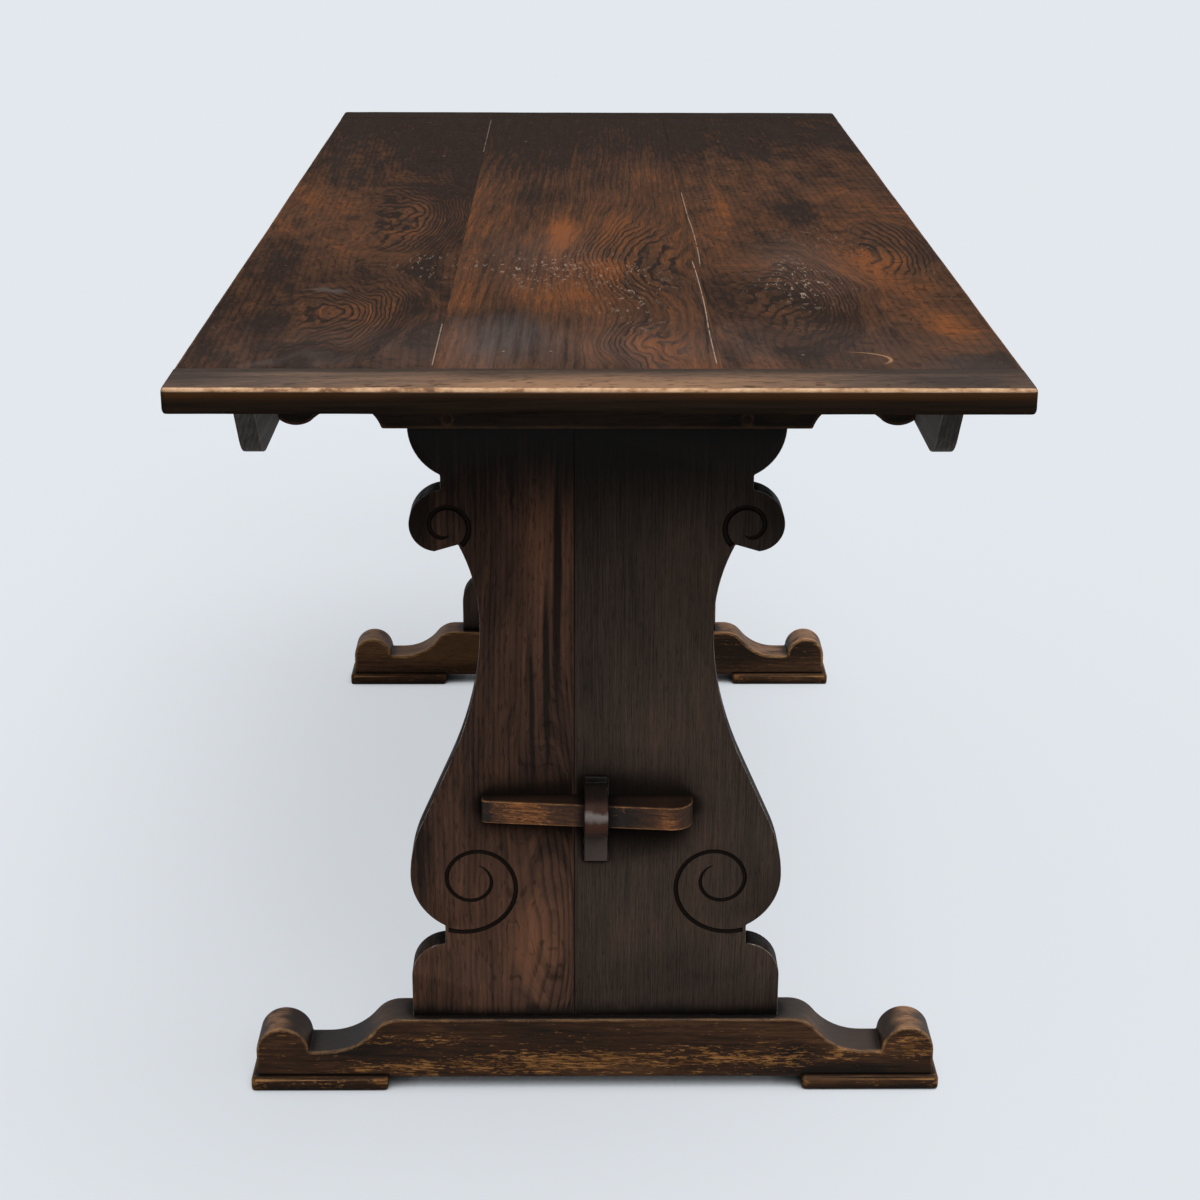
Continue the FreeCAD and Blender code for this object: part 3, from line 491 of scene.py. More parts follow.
def line_along(oak, points, half):
    """A mask for a fine line that wanders down a board through (across, along) points."""
    alongs = [point[1] for point in points]
    acrosses = [point[0] for point in points]
    start, end = min(alongs), max(alongs)
    least, most = min(acrosses) - 0.001, max(acrosses) + 0.001
    share = oak.maths("DIVIDE", oak.maths("SUBTRACT", oak.along, start), end - start)
    bend = oak.node("ShaderNodeFloatCurve", {0: 1.0, 1: share})
    knots = bend.mapping.curves[0].points
    while len(knots) < len(points):
        knots.new(0.5, 0.5)
    for knot, (across, along) in zip(knots, sorted(points, key=lambda point: point[1])):
        knot.location = ((along - start) / (end - start), (across - least) / (most - least))
    bend.mapping.update()
    middle = oak.maths("MULTIPLY_ADD", bend.outputs[0], most - least, least)
    away = oak.maths("ABSOLUTE", oak.maths("SUBTRACT", oak.across, middle))
    broken = oak.ramp(oak.noise(oak.moved, (20.0, 20.0, 60.0), 3.0), 0.30, 0.48)
    within = oak.times(oak.ramp(share, 0.0, 0.03), oak.ramp(share, 1.0, 0.97))
    return oak.times(oak.ramp(away, half, half * 0.3), broken, within)


def under_top(oak, band):
    """A ramp down the edge of the top, between two depths below its upper face."""
    return oak.ramp(oak.inward, end_near_high.z - band[0], end_near_high.z - band[1])


def worn_bright_rim(oak, place, rim, inner, strength, tones=RIM_WEAR_AND_HIGHLIGHT):
    """Wood worn bare along a rim and chipped unevenly, by default in tones pale enough to be a painted
    highlight too: place is the axis across that rim.
    """
    band = oak.ramp(place, inner, inner + 0.55 * (rim - inner))
    band = oak.times(band, under_top(oak, RIM_BAND))
    chips = oak.noise(oak.moved, (90.0, 90.0, 55.0), 4.0, 0.65)
    band = oak.times(band, oak.ramp(chips, 0.32, 0.50, 0.25 * strength, strength))
    lay(oak, band, oak.tones(chips, (0.38, tones[0]), (0.62, tones[1])))


def used_top(oak, sheen_patches=(), glint_spots=(), cracks=(), hook=None):
    """Years of meals over the stain: dark marks, fine cracks and a scratch, with painted sheen in grey
    patches and pale glints.

    The grey patches and the glints are placed by spots (across, along, half across, half along, strength).
    Each crack is
    (points, half width, strength), with points as (across, along). A hook is part of a ring:
    its middle and its two half sizes. The edge below the arris keeps its dark stain, with a
    warm glow where hands have held it and a paler line along its foot.
    """
    # Painted sheen: grey patches laid over the top where it would shine.
    for spot in sheen_patches:
        cloud = oak.times(oak.hump(spot), oak.ramp(oak.streak, 0.3, 0.62, 0.35, 1.0))
        lay(oak, oak.times(cloud, spot[4]), SHEEN_GREY)
    # Painted glints: pale flecks on fine ridges, with dark marks beside them; the same pale colour serves
    # the cracks.
    ripple = oak.noise(oak.moved, (260.0, 260.0, 62.0), 2.0, 0.5)
    ridge = oak.maths("ABSOLUTE", oak.maths("MULTIPLY_ADD", ripple, 2.0, -1.0))
    sparse = oak.ramp(oak.noise(oak.moved, (190.0, 190.0, 60.0), 1.0), 0.57, 0.65)
    glints = oak.times(oak.ramp(ridge, 0.10, 0.03), sparse)
    glint_and_mark_share = raised(oak, FAINT_GLINTS_AND_MARKS, glint_spots)
    pressed = oak.times(oak.ramp(ridge, 0.22, 0.06), oak.times(glint_and_mark_share, 0.55))
    lay(oak, pressed, TOP_TONES[0])
    lay(oak, oak.maths("MULTIPLY", glints, glint_and_mark_share, clamp=True), SCRATCH_AND_GLINT)
    cells = oak.node("ShaderNodeTexVoronoi", {"Vector": oak.moved, "Scale": 26.0})
    chance = oak.node("ShaderNodeSeparateXYZ", {0: cells.outputs["Color"]}).outputs[0]
    prick = oak.times(oak.ramp(cells.outputs["Distance"], 0.045, 0.025), oak.ramp(chance, 0.55, 0.60))
    lay(oak, oak.times(prick, 0.55), SCRATCH_AND_GLINT)
    for points, half, strength in cracks:
        lay(oak, oak.times(line_along(oak, points, half), strength), SCRATCH_AND_GLINT)
    if hook:
        middle, reach = (hook[0], 0.0, hook[1]), (1 / hook[2], 0.0, 1 / hook[3])
        spread = oak.vector("MULTIPLY", oak.vector("SUBTRACT", oak.turned, middle), reach)
        ring = oak.maths("ABSOLUTE", oak.maths("SUBTRACT", oak.vector("LENGTH", spread), 1.0))
        facing = oak.ramp(oak.across, hook[0] - 0.2 * hook[2], hook[0] + 0.75 * hook[2])
        ahead = oak.ramp(oak.along, hook[1] - 0.75 * hook[3], hook[1] - 0.2 * hook[3])
        stroke = oak.times(oak.ramp(ring, 0.065, 0.02), facing, ahead)
        lay(oak, stroke, BARE_OAK)
    below = under_top(oak, STAINED_BELOW)
    lay(oak, below, oak.tones(oak.streak, (0.3, DARK_OAK), (0.8, TOP_EDGE)))
    handled = oak.times(under_top(oak, EDGE_GLOW_BAND), oak.ramp(oak.patch, 0.38, 0.62, 0.10, 0.85))
    lay(oak, oak.times(handled, below), EDGE_GLOW)
    foot_line = oak.ramp(oak.inward, end_near_low.z + FOOT_LINE[0], end_near_low.z + FOOT_LINE[1])
    foot_line = oak.times(foot_line, oak.ramp(oak.rub, 0.35, 0.6, 0.0, 0.5))
    lay(oak, foot_line, BROWN_OAK)


end_near_low, end_near_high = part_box("end_board_near")
end_far_low, end_far_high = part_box("end_board_far")
left_joint = end_near_low.x + LEFT_PLANK_WIDTH
right_joint = left_joint + MIDDLE_PLANK_WIDTH
plank_spans = {
    "top_plank_left": (end_near_low.x, left_joint),
    "top_plank_middle": (left_joint, right_joint),
    "top_plank_right": (right_joint, end_near_high.x),
}
FAR_DARK = (0.0, 0.72, 0.85, 0.75, -0.42)
plank_figures = {
    "top_plank_left": dict(
        place=(3.1, 0.4, 7.7), pith=(0.16, 0.50), taper=0.050,
        swirls=((-0.185, -0.029, 0.090, 0.30, 0.050), (-0.215, -0.497, 0.075, 0.20, 0.045)),
        spots=((-0.185, -0.05, 0.035, 0.20, 0.22), (-0.225, -0.50, 0.055, 0.12, 0.26),
               (-0.290, -0.25, 0.06, 0.40, -0.16), (-0.165, -0.34, 0.03, 0.07, -0.20), FAR_DARK),
        depth=0.345),
    "top_plank_middle": dict(
        place=(8.3, 0.9, 1.2), pith=(-0.25, 0.50), taper=0.03,
        swirls=((0.030, -0.26, 0.085, 0.34, 0.040), (0.030, -0.62, 0.06, 0.12, 0.028)),
        spots=((-0.035, -0.12, 0.022, 0.20, 0.30), (0.010, -0.30, 0.035, 0.09, 0.30),
               (0.040, -0.62, 0.045, 0.08, 0.26), (-0.085, -0.55, 0.055, 0.16, -0.26),
               (-0.04, 0.10, 0.09, 0.12, -0.10), FAR_DARK)),
    "top_plank_right": dict(
        place=(5.9, 2.4, 4.3), pith=(0.55, 0.50), taper=0.035,
        swirls=((0.190, -0.42, 0.080, 0.26, 0.040), (0.300, -0.20, 0.06, 0.20, 0.020)),
        spots=((0.300, -0.50, 0.045, 0.15, 0.22), (0.270, -0.25, 0.05, 0.10, 0.20),
               (0.16, -0.45, 0.03, 0.14, 0.14), (0.22, 0.02, 0.06, 0.08, -0.14),
               (0.320, -0.66, 0.04, 0.04, -0.26), FAR_DARK),
        depth=0.46),
}
plank_marks = {
    "top_plank_left": dict(
        sheen_patches=((-0.248, -0.385, 0.028, 0.014, 0.9), (-0.25, -0.67, 0.06, 0.03, 0.5), NEAR_SHEEN),
        glint_spots=((-0.165, -0.30, 0.05, 0.10, 0.45),),
        cracks=(([(-0.1352, -0.69), (-0.1350, -0.54)], 0.0008, 0.6),
                ([(-0.1350, 0.40), (-0.1350, 0.69)], 0.0010, 0.3))),
    "top_plank_middle": dict(
        sheen_patches=((-0.085, -0.60, 0.07, 0.13, 0.55), (-0.05, -0.25, 0.10, 0.22, 0.22), NEAR_SHEEN),
        glint_spots=((-0.034, -0.316, 0.08, 0.14, 0.75), (0.030, -0.40, 0.05, 0.26, 0.6),
                (-0.09, -0.27, 0.06, 0.10, 0.5)),
        cracks=(([(0.0955, -0.69), (0.0955, -0.583), (0.097, -0.447), (0.095, -0.267)], 0.0007, 0.8),)),
    "top_plank_right": dict(
        sheen_patches=((0.20, -0.28, 0.08, 0.20, 0.28), (0.30, -0.68, 0.06, 0.05, 0.4), NEAR_SHEEN),
        glint_spots=((0.190, -0.37, 0.06, 0.16, 0.8), (0.24, -0.16, 0.08, 0.12, 0.3)),
        cracks=(([(0.1015, -0.30), (0.1035, -0.16), (0.1018, -0.02), (0.1012, 0.12)], 0.0008, 0.6),),
        hook=(0.205, -0.668, 0.034, 0.025)),
}
for index, (name, (from_x, to_x)) in enumerate(plank_spans.items()):
    low_arris = RIM_ARRIS if index == 0 else JOINT_ARRIS
    high_arris = RIM_ARRIS if index == 2 else JOINT_ARRIS
    oak = stained_oak("oak_" + name, "xzy", rings=185.0, drift=(0.055, 0.20), tones=TOP_TONES,
                      patchy=0.58, streaky=0.34, fibrous=0.34, sheen=0.001, **plank_figures[name])
    used_top(oak, **plank_marks[name])
    if index != 1:
        rim_x = from_x if index == 0 else to_x
        inner_x = rim_x * (1 - SIDE_RIM_DEPTH / abs(rim_x))
        worn_bright_rim(oak, oak.across, rim_x, inner_x, strength=0.5, tones=WORN_SIDE)
    plank = board(name + "_planed", (from_x, end_near_high.y, end_near_low.z),
                  (to_x, end_far_low.y, end_near_high.z), run=1,
                  eases=(low_arris, high_arris, high_arris, low_arris), end_ease=JOINT_ARRIS,
                  corners=(False, False), material=oak.material, seed=11 + index)
    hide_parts(name)

END_BOARD_SPOTS = {
    "end_board_near": ((-0.745, -0.02, 0.05, 0.26, 0.26), (-0.735, -0.31, 0.06, 0.10, -0.22),
                       (-0.693, 0.0, 0.026, 3.0, -0.62), (-0.735, 0.29, 0.06, 0.14, -0.34),
                       (-0.752, -0.02, 0.016, 0.30, 0.14), (-0.725, -0.33, 0.05, 0.10, -0.16)),
    "end_board_far": ((0.735, 0.0, 0.20, 3.0, -0.55),),
}
END_BOARD_SHEEN = ((-0.735, 0.27, 0.06, 0.16, 0.25), (-0.735, -0.26, 0.06, 0.18, 0.35))
for name, (low, high), turn in (("end_board_near", (end_near_low, end_near_high), 1),
                                ("end_board_far", (end_far_low, end_far_high), -1)):
    near = turn == 1
    oak = stained_oak("oak_" + name, "yzx", place=(1.7 + turn, 6.2, 3.3), pith=(-0.72 * turn, 0.70),
                      taper=0.02, tones=END_TONES if near else TOP_TONES, spots=END_BOARD_SPOTS[name],
                      figure=0.05, patchy=0.40, streaky=0.34, fibrous=0.26, sheen=0.001)
    used_top(oak, sheen_patches=END_BOARD_SHEEN if near else ())
    if near:
        worn_bright_rim(oak, oak.across, low.y, low.y + NEAR_RIM_DEPTH, strength=1.0)
    low_arris, high_arris = (RIM_ARRIS, JOINT_ARRIS) if near else (JOINT_ARRIS, RIM_ARRIS)
    end_board = board(name + "_planed", low, high, run=0,
                      eases=(low_arris, high_arris, high_arris, low_arris), end_ease=RIM_ARRIS,
                      corners=(near, not near), material=oak.material, seed=31 + turn)
    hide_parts(name)


# ---------------------------------------------------------------- aprons and glue blocks
# A plain oak board on edge under each side of the top, rounded at its lower toes. Pine
# blocks are rubbed into the corner behind it.
BORE_REACH = 0.009
ARRIS_ANGLE = math.radians(35)
SAME_POINT = 2e-6
SAME_PLANE = math.radians(0.4)


def fixing_tree(step=0.002):
    """A search tree of points on a fine grid along the edges of every screw, nail and peg."""
    points = []
    for name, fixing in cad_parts.items():
        if any(kind in name for kind in ("screws", "nails", "pegs")):
            corners = np.array([corner.co for corner in fixing.data.vertices])
            ends = corners[np.array([edge.vertices[:] for edge in fixing.data.edges])]
            share = np.linspace(0, 1, 9)[None, :, None]
            points.append((ends[:, :1] * (1 - share) + ends[:, 1:] * share).reshape(-1, 3))
    points = np.unique(np.round(np.concatenate(points) / step), axis=0) * step
    tree = KDTree(len(points))
    for index, point in enumerate(points):
        tree.insert(point, index)
    tree.balance()
    return tree


fixings = fixing_tree()


def eased_copy(node, ease, material, body="table", segments=2):
    """The node's own solid, merged, with its flats joined and its arrises eased to a small radius.

    An edge with both ends close to a screw, nail or peg belongs to its bore, and stays as drilled.
    """
    work = bmesh.new()
    work.from_mesh(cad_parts[node].data)
    bmesh.ops.remove_doubles(work, verts=work.verts, dist=SAME_POINT)
    bmesh.ops.dissolve_limit(work, angle_limit=SAME_PLANE, verts=work.verts, edges=work.edges)
    work.normal_update()
    weight = work.edges.layers.float.new("bevel_weight_edge")
    for edge in work.edges:
        bored = all(fixings.find(end.co)[2] < BORE_REACH for end in edge.verts)
        edge[weight] = float(edge.calc_face_angle(0.0) > ARRIS_ANGLE and not bored)
    mesh = bpy.data.meshes.new(node + "_eased")
    work.to_mesh(mesh)
    work.free()
    mesh.materials.append(material)
    piece = placed(node + "_eased", mesh)
    shade_by_angle(mesh)
    bevel = piece.modifiers.new("eased", "BEVEL")
    bevel.width = ease
    bevel.segments = segments
    bevel.limit_method = "WEIGHT"
    bevel.harden_normals = True
    bevel.use_clamp_overlap = False
    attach(piece, body)
    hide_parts(node)
    return piece


def dress(names, material):
    """Gives the frame's own pieces a material."""
    for name in names:
        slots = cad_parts[name].data.materials
        slots.clear()
        slots.append(material)


# Painted sheen: the apron's greys, and those of its raw inner face, are lightened partly to stand for a
# sheen.
APRON_TONES_WITH_SHEEN = ((0.080, 0.073, 0.067), (0.230, 0.208, 0.190), (0.420, 0.375, 0.335))
STAINED_OUTSIDE = ((0.30, DARK_OAK), (0.75, (0.060, 0.036, 0.026)))
RAW_INSIDE_AND_SHEEN = ((0.30, (0.230, 0.215, 0.200)), (0.70, (0.520, 0.490, 0.455)))
FACE_DEPTHS = (0.0012, 0.0004)
for side_name, offset in (("left", 0.0), ("right", 3.7)):
    oak = stained_oak("oak_apron_" + side_name, "zxy", place=(2.2 + offset, 5.0, 1.0),
                      pith=(0.60, 0.05 + offset), tones=APRON_TONES_WITH_SHEEN, depth=0.42, bare=0.3,
                      nook_shade=0.5, sheen=0.008)
    low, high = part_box("apron_" + side_name)
    inner_x, outer_x = sorted((abs(low.x), abs(high.x)))
    from_middle = oak.maths("ABSOLUTE", oak.inward)
    outside = oak.ramp(from_middle, outer_x - FACE_DEPTHS[0], outer_x - FACE_DEPTHS[1])
    lay(oak, oak.times(outside, 0.94), oak.tones(oak.streak, *STAINED_OUTSIDE))
    inside = oak.ramp(from_middle, inner_x + FACE_DEPTHS[0], inner_x + FACE_DEPTHS[1])
    lay(oak, inside, oak.tones(oak.streak, *RAW_INSIDE_AND_SHEEN))
    apron = eased_copy("apron_" + side_name, 0.0012, oak.material)

PINE_TONES = ((0.060, 0.035, 0.020), (0.190, 0.115, 0.062), (0.330, 0.215, 0.120))
pine = stained_oak("block_pine", "zxy", place=(9.0, 2.0, 4.0), pith=(0.5, 0.2), rings=420.0,
                   tones=PINE_TONES, depth=0.5, bare=0.2, nook_shade=0.6, sheen=0.08)
dress(("glue_blocks_left", "glue_blocks_right"), pine.material)


# ---------------------------------------------------------------- bearers and their pegs
# The cross timber on each trestle that carries the top, its ends drawn down in a worn
# curve, with two round pegs through the panel's tenons.
TRESTLE_TONES = (DARK_OAK, (0.055, 0.036, 0.027), (0.130, 0.072, 0.045))
for offset, end in enumerate(("near", "far")):
    oak = stained_oak("oak_bearer_" + end, "zyx", place=(4.4 + offset, 1.0, 6.0), pith=(0.75, 0.10),
                      taper=0.01, tones=TRESTLE_TONES, depth=0.36, bare=0.6, nook_shade=0.5)
    bearer = eased_copy("bearer_" + end, 0.0016, oak.material)

peg = stained_oak("oak_pegs", "xyz", place=(0.3, 0.4, 0.5), pith=(0.4, 0.2), tones=TRESTLE_TONES,
                  depth=0.15, bare=0.1, nook_shade=0.2)
dress(("bearer_pegs_near", "bearer_pegs_far"), peg.material)


# ---------------------------------------------------------------- carved panels
# Each trestle's post is two shaped boards jointed edge to edge. A spiral is gouged into
# every cusp of its outline, deep where it leaves the edge and fading to its eye.
UPPER_SPIRAL = dict(half=0.0027, eye=(-0.1364, 0.5764), start_radius=0.02306, eye_radius=0.0092,
                    fall=0.93, start=-51.3, turned=344.8)
LOWER_SPIRAL = dict(half=0.0023, eye=(-0.1171, 0.2218), start_radius=0.0569, eye_radius=0.01755,
                    fall=2.29, start=-114.8, turned=545.3)
GOUGE_DEPTH = 0.0030
GOUGE_STEPS = 90
GOUGE_SIDES = 10

gouged = stained_oak("gouged_oak", "xyz", place=(1.0, 1.0, 1.0), pith=(0.1, 0.4), depth=0.2,
                     tones=(DARK_OAK, (0.018, 0.012, 0.010), (0.040, 0.024, 0.018)))


def gouge(name, face_y, outward, mirror, half, eye, start_radius, eye_radius, fall, start, turned):
    """A tube that cuts one spiral groove: an ellipse carried round a shrinking circle.

    With s from 0 at the start to 1 at the eye, the radius is the eye's radius plus the rest
    times (1 - s)^fall, while the angle, in degrees, turns steadily. The tube thins towards
    the eye.
    """
    s = np.linspace(0, 1, GOUGE_STEPS)[:, None]
    angle = np.radians(start + turned * s)
    radius = eye_radius + (start_radius - eye_radius) * (1 - s) ** fall
    x = eye[0] + radius * np.cos(angle)
    z = eye[1] + radius * np.sin(angle)
    step_x, step_z = np.gradient(x[:, 0]), np.gradient(z[:, 0])
    length = np.hypot(step_x, step_z)
    side_x, side_z = (step_z / length)[:, None], (-step_x / length)[:, None]
    swell = np.minimum(1.0, np.sqrt(np.clip((1 - s) * 7, 0.04, 1))) * (1.0 - 0.25 * s)
    turn = np.linspace(0, 2 * math.pi, GOUGE_SIDES, endpoint=False)[None, :]
    reach = half * swell * np.cos(turn)
    deep = face_y + outward * GOUGE_DEPTH * swell * np.sin(turn)
    points = np.stack([mirror * (x + side_x * reach), deep, z + side_z * reach], -1)
    cutter = shaped(name, points, tube_faces(*reach.shape), gouged.material)
    work = bmesh.new()
    work.from_mesh(cutter.data)
    bmesh.ops.recalc_face_normals(work, faces=work.faces)
    work.to_mesh(cutter.data)
    work.free()
    return cutter


def carve(piece, cutters):
    """Cuts the grooves out of the piece, and puts the finished mesh in its place."""
    for cutter in cutters:
        cut = piece.modifiers.new(cutter.name, "BOOLEAN")
        cut.operation = "DIFFERENCE"
        cut.solver = "EXACT"
        cut.material_mode = "TRANSFER"
        cut.object = cutter
    finished = piece.evaluated_get(bpy.context.evaluated_depsgraph_get())
    carved = bpy.data.meshes.new_from_object(finished)
    piece.modifiers.clear()
    piece.data = carved
    shade_by_angle(carved)
    for cutter in cutters:
        bpy.data.objects.remove(cutter)


PAINTED_SHADE_BLACK = (0.0055, 0.0048, 0.0042)


def painted_contact_shade(oak, reach, strength):
    """Painted shade: near-black laid on a face round whatever stands on it, deepest in the nooks, within
    the reach.
    """
    nook = oak.ramp(oak.openness(reach, samples=8), 0.99, 0.68)
    lay(oak, oak.times(nook, strength), PAINTED_SHADE_BLACK)


SHADE_GREY = (0.044, 0.043, 0.041)
ARRIS_HIGHLIGHT = ((0.10, 0.070, 0.055), (0.80, 0.68, 0.60))
NARROW_TONES = ((0.027, 0.019, 0.016), (0.105, 0.056, 0.038), (0.245, 0.112, 0.064))
WIDE_TONES = ((0.032, 0.025, 0.021), (0.078, 0.055, 0.043), (0.155, 0.092, 0.066))
LIT_INNER_FACE_TONE = (0.260, 0.180, 0.135)
THICKNESS_BAND = ((0.0016, 0.0030), (0.0274, 0.0262))
ARRIS_BAND = ((0.0001, 0.0003), (0.0016, 0.0009))
SHADE_GREY_HEIGHTS = (0.600, 0.665)
# Painted shade: this spot darkens the upper part of each board, below the top's overhang.
PAINTED_SHADE_UNDER_TOP = (0.0, 0.72, 1.5, 0.17, -0.34)
UPPER_SCROLL = (-0.185, 0.585, 0.055, 0.055, -0.45)
ON_FOOT = (0.0, 0.072, 1.5, 0.022, -0.35)
panel_figures = {
    "narrow": dict(
        tones=NARROW_TONES, rings=215.0, figure=0.16, taper=0.03, waver=0.020, patchy=0.36,
        streaky=0.30, streak_size=(130.0, 2.6), fibrous=0.30, fibre_size=(620.0, 12.0), depth=0.44,
        pored=0.45, swirled=0.35, swirls=((-0.030, 0.16, 0.055, 0.30, 0.028),),
        spots=((-0.052, 0.50, 0.030, 0.24, 0.24), (-0.036, 0.52, 0.006, 0.15, -0.62),
               (-0.046, 0.44, 0.004, 0.16, -0.50), (-0.060, 0.40, 0.004, 0.12, -0.34),
               (-0.060, 0.16, 0.050, 0.10, 0.26), (-0.090, 0.34, 0.03, 0.08, 0.10),
               (-0.165, 0.25, 0.03, 0.12, -0.16), UPPER_SCROLL, PAINTED_SHADE_UNDER_TOP, ON_FOOT)),
    "wide": dict(
        tones=WIDE_TONES, rings=300.0, figure=0.08, taper=0.02, waver=0.012, patchy=0.42,
        streaky=0.15, streak_size=(190.0, 14.0), fibrous=0.34, fibre_size=(560.0, 16.0), depth=0.47,
        pored=0.55,
        spots=((0.05, 0.36, 0.03, 0.10, 0.14), (0.03, 0.165, 0.06, 0.06, 0.10),
               (0.10, 0.12, 0.12, 0.06, -0.14), (-UPPER_SCROLL[0], *UPPER_SCROLL[1:]),
               PAINTED_SHADE_UNDER_TOP, ON_FOOT)),
}
for outward, end in ((-1, "near"), (1, "far")):
    for width_name, figure in panel_figures.items():
        node = f"panel_board_{width_name}_{end}"
        low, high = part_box(node)
        hand = -outward
        side_hand = -hand if width_name == "narrow" else hand
        face_y = low.y if outward < 0 else high.y
        joint_x = high.x if abs(high.x) < abs(low.x) else low.x
        figure = dict(figure, spots=tuple((spot[0] * hand, *spot[1:]) for spot in figure["spots"]),
                      swirls=tuple((swirl[0] * hand, *swirl[1:]) for swirl in figure.get("swirls", ())))
        oak = stained_oak("oak_" + node, "xyz", place=(6.6 + outward, 2.0, 3.0 + side_hand),
                          pith=(-0.55 * side_hand, face_y * 0.75), bare_reach=0.0026, sheen=0.012,
                          **figure)
        near_joint = oak.maths("ABSOLUTE", oak.maths("SUBTRACT", oak.across, joint_x))
        depth = oak.maths("ABSOLUTE", oak.maths("SUBTRACT", oak.inward, face_y))
        # Painted shade: the boards' thickness, their side faces, is laid near-black, more strongly on the
        # near trestle.
        flank = oak.times(oak.ramp(depth, *THICKNESS_BAND[0]), oak.ramp(depth, *THICKNESS_BAND[1]))
        lay(oak, oak.times(flank, 0.7 if end == "near" else 0.35), PAINTED_SHADE_BLACK)
        # Painted light: the inner faces are lightened towards a pale brown, standing for light they do not
        # get.
        painted_light_inside = oak.times(oak.ramp(depth, *reversed(THICKNESS_BAND[1])), 0.6)
        lay(oak, painted_light_inside, oak.tones(oak.streak, (0.30, WIDE_TONES[1]), (0.70, LIT_INNER_FACE_TONE)))
        lay(oak, oak.times(oak.ramp(near_joint, 0.0011, 0.0002), 0.45), DARK_OAK)
        painted_contact_shade(oak, 0.055, oak.ramp(near_joint, 0.0006, 0.0030, 0.30, 0.92))
        # Painted shade: a neutral grey laid over the boards' upper part, the tone of the shade under the
        # top.
        lay(oak, oak.ramp(oak.along, *SHADE_GREY_HEIGHTS, 0.0, 0.70), SHADE_GREY)
        # Painted highlight: a pale line laid along the outline's arrises, for the reflection that runs
        # along them.
        on_arris = oak.times(oak.ramp(depth, *ARRIS_BAND[0]), oak.ramp(depth, *ARRIS_BAND[1]),
                             oak.ramp(near_joint, 0.003, 0.006))
        arris_mark = oak.times(oak.edge, on_arris)
        lay(oak, arris_mark, oak.tones(oak.rub, (0.36, ARRIS_HIGHLIGHT[0]), (0.54, ARRIS_HIGHLIGHT[1])))
        panel = eased_copy(node, 0.0010, oak.material)
        cutters = [gouge(f"{node}_{place}", face_y, outward, -side_hand, **spiral)
                   for place, spiral in (("upper", UPPER_SPIRAL), ("lower", LOWER_SPIRAL))]
        carve(panel, cutters)


# ---------------------------------------------------------------- feet, pads and nails
# A shaped foot with a rounded knob at each end rests on two thick pads, which are fixed to
# it with square nails. Shoes and brooms have rubbed the stain off its upper arrises, its
# knobs and the pads' ends.
FOOT_STAIN = {"near": ((0.016, 0.012, 0.0095), (0.053, 0.027, 0.016), (0.145, 0.070, 0.034)),
              "far": ((0.030, 0.019, 0.013), (0.100, 0.050, 0.027), (0.250, 0.125, 0.062))}
OCHRE = ((0.100, 0.043, 0.015), (0.430, 0.205, 0.070))
PAD_RIM = ((0.150, 0.068, 0.026), (0.620, 0.330, 0.140))
SEAT_SHEEN = {"near": (0.066, 0.060, 0.058), "far": (0.120, 0.066, 0.042)}
SHOE_RUB_AND_TOP_LIGHT = ((0.150, 0.078, 0.046), (0.400, 0.230, 0.130))
RUBBED_FOOT = ((0.300, 0.125, 0.046), (1.000, 0.560, 0.240))


def scuffed(oak, zones, grain=(640.0, 105.0), tones=OCHRE):
    """Stain scuffed through in short dashes along the grain, more of them where a zone is strong.

    A zone is (across, along, half across, half along, strength); grain is dashes per metre,
    across and along.
    """
    dashes = oak.noise(oak.flow, (grain[0], grain[0], grain[1]), 4.0, 0.7)
    clumps = oak.noise(oak.moved, (grain[0] / 6, grain[0] / 6, grain[1] / 4), 3.0)
    level = oak.maths("MULTIPLY_ADD", clumps, 0.45, oak.times(dashes, 1.35))
    level = raised(oak, level, zones, share=0.40)
    shown = oak.tones(oak.fibre, (0.40, tones[0]), (0.60, tones[1]))
    bared = oak.times(oak.ramp(level, 1.10, 1.17), oak.maths("SUBTRACT", 1.0, oak.upward))
    lay(oak, bared, shown)


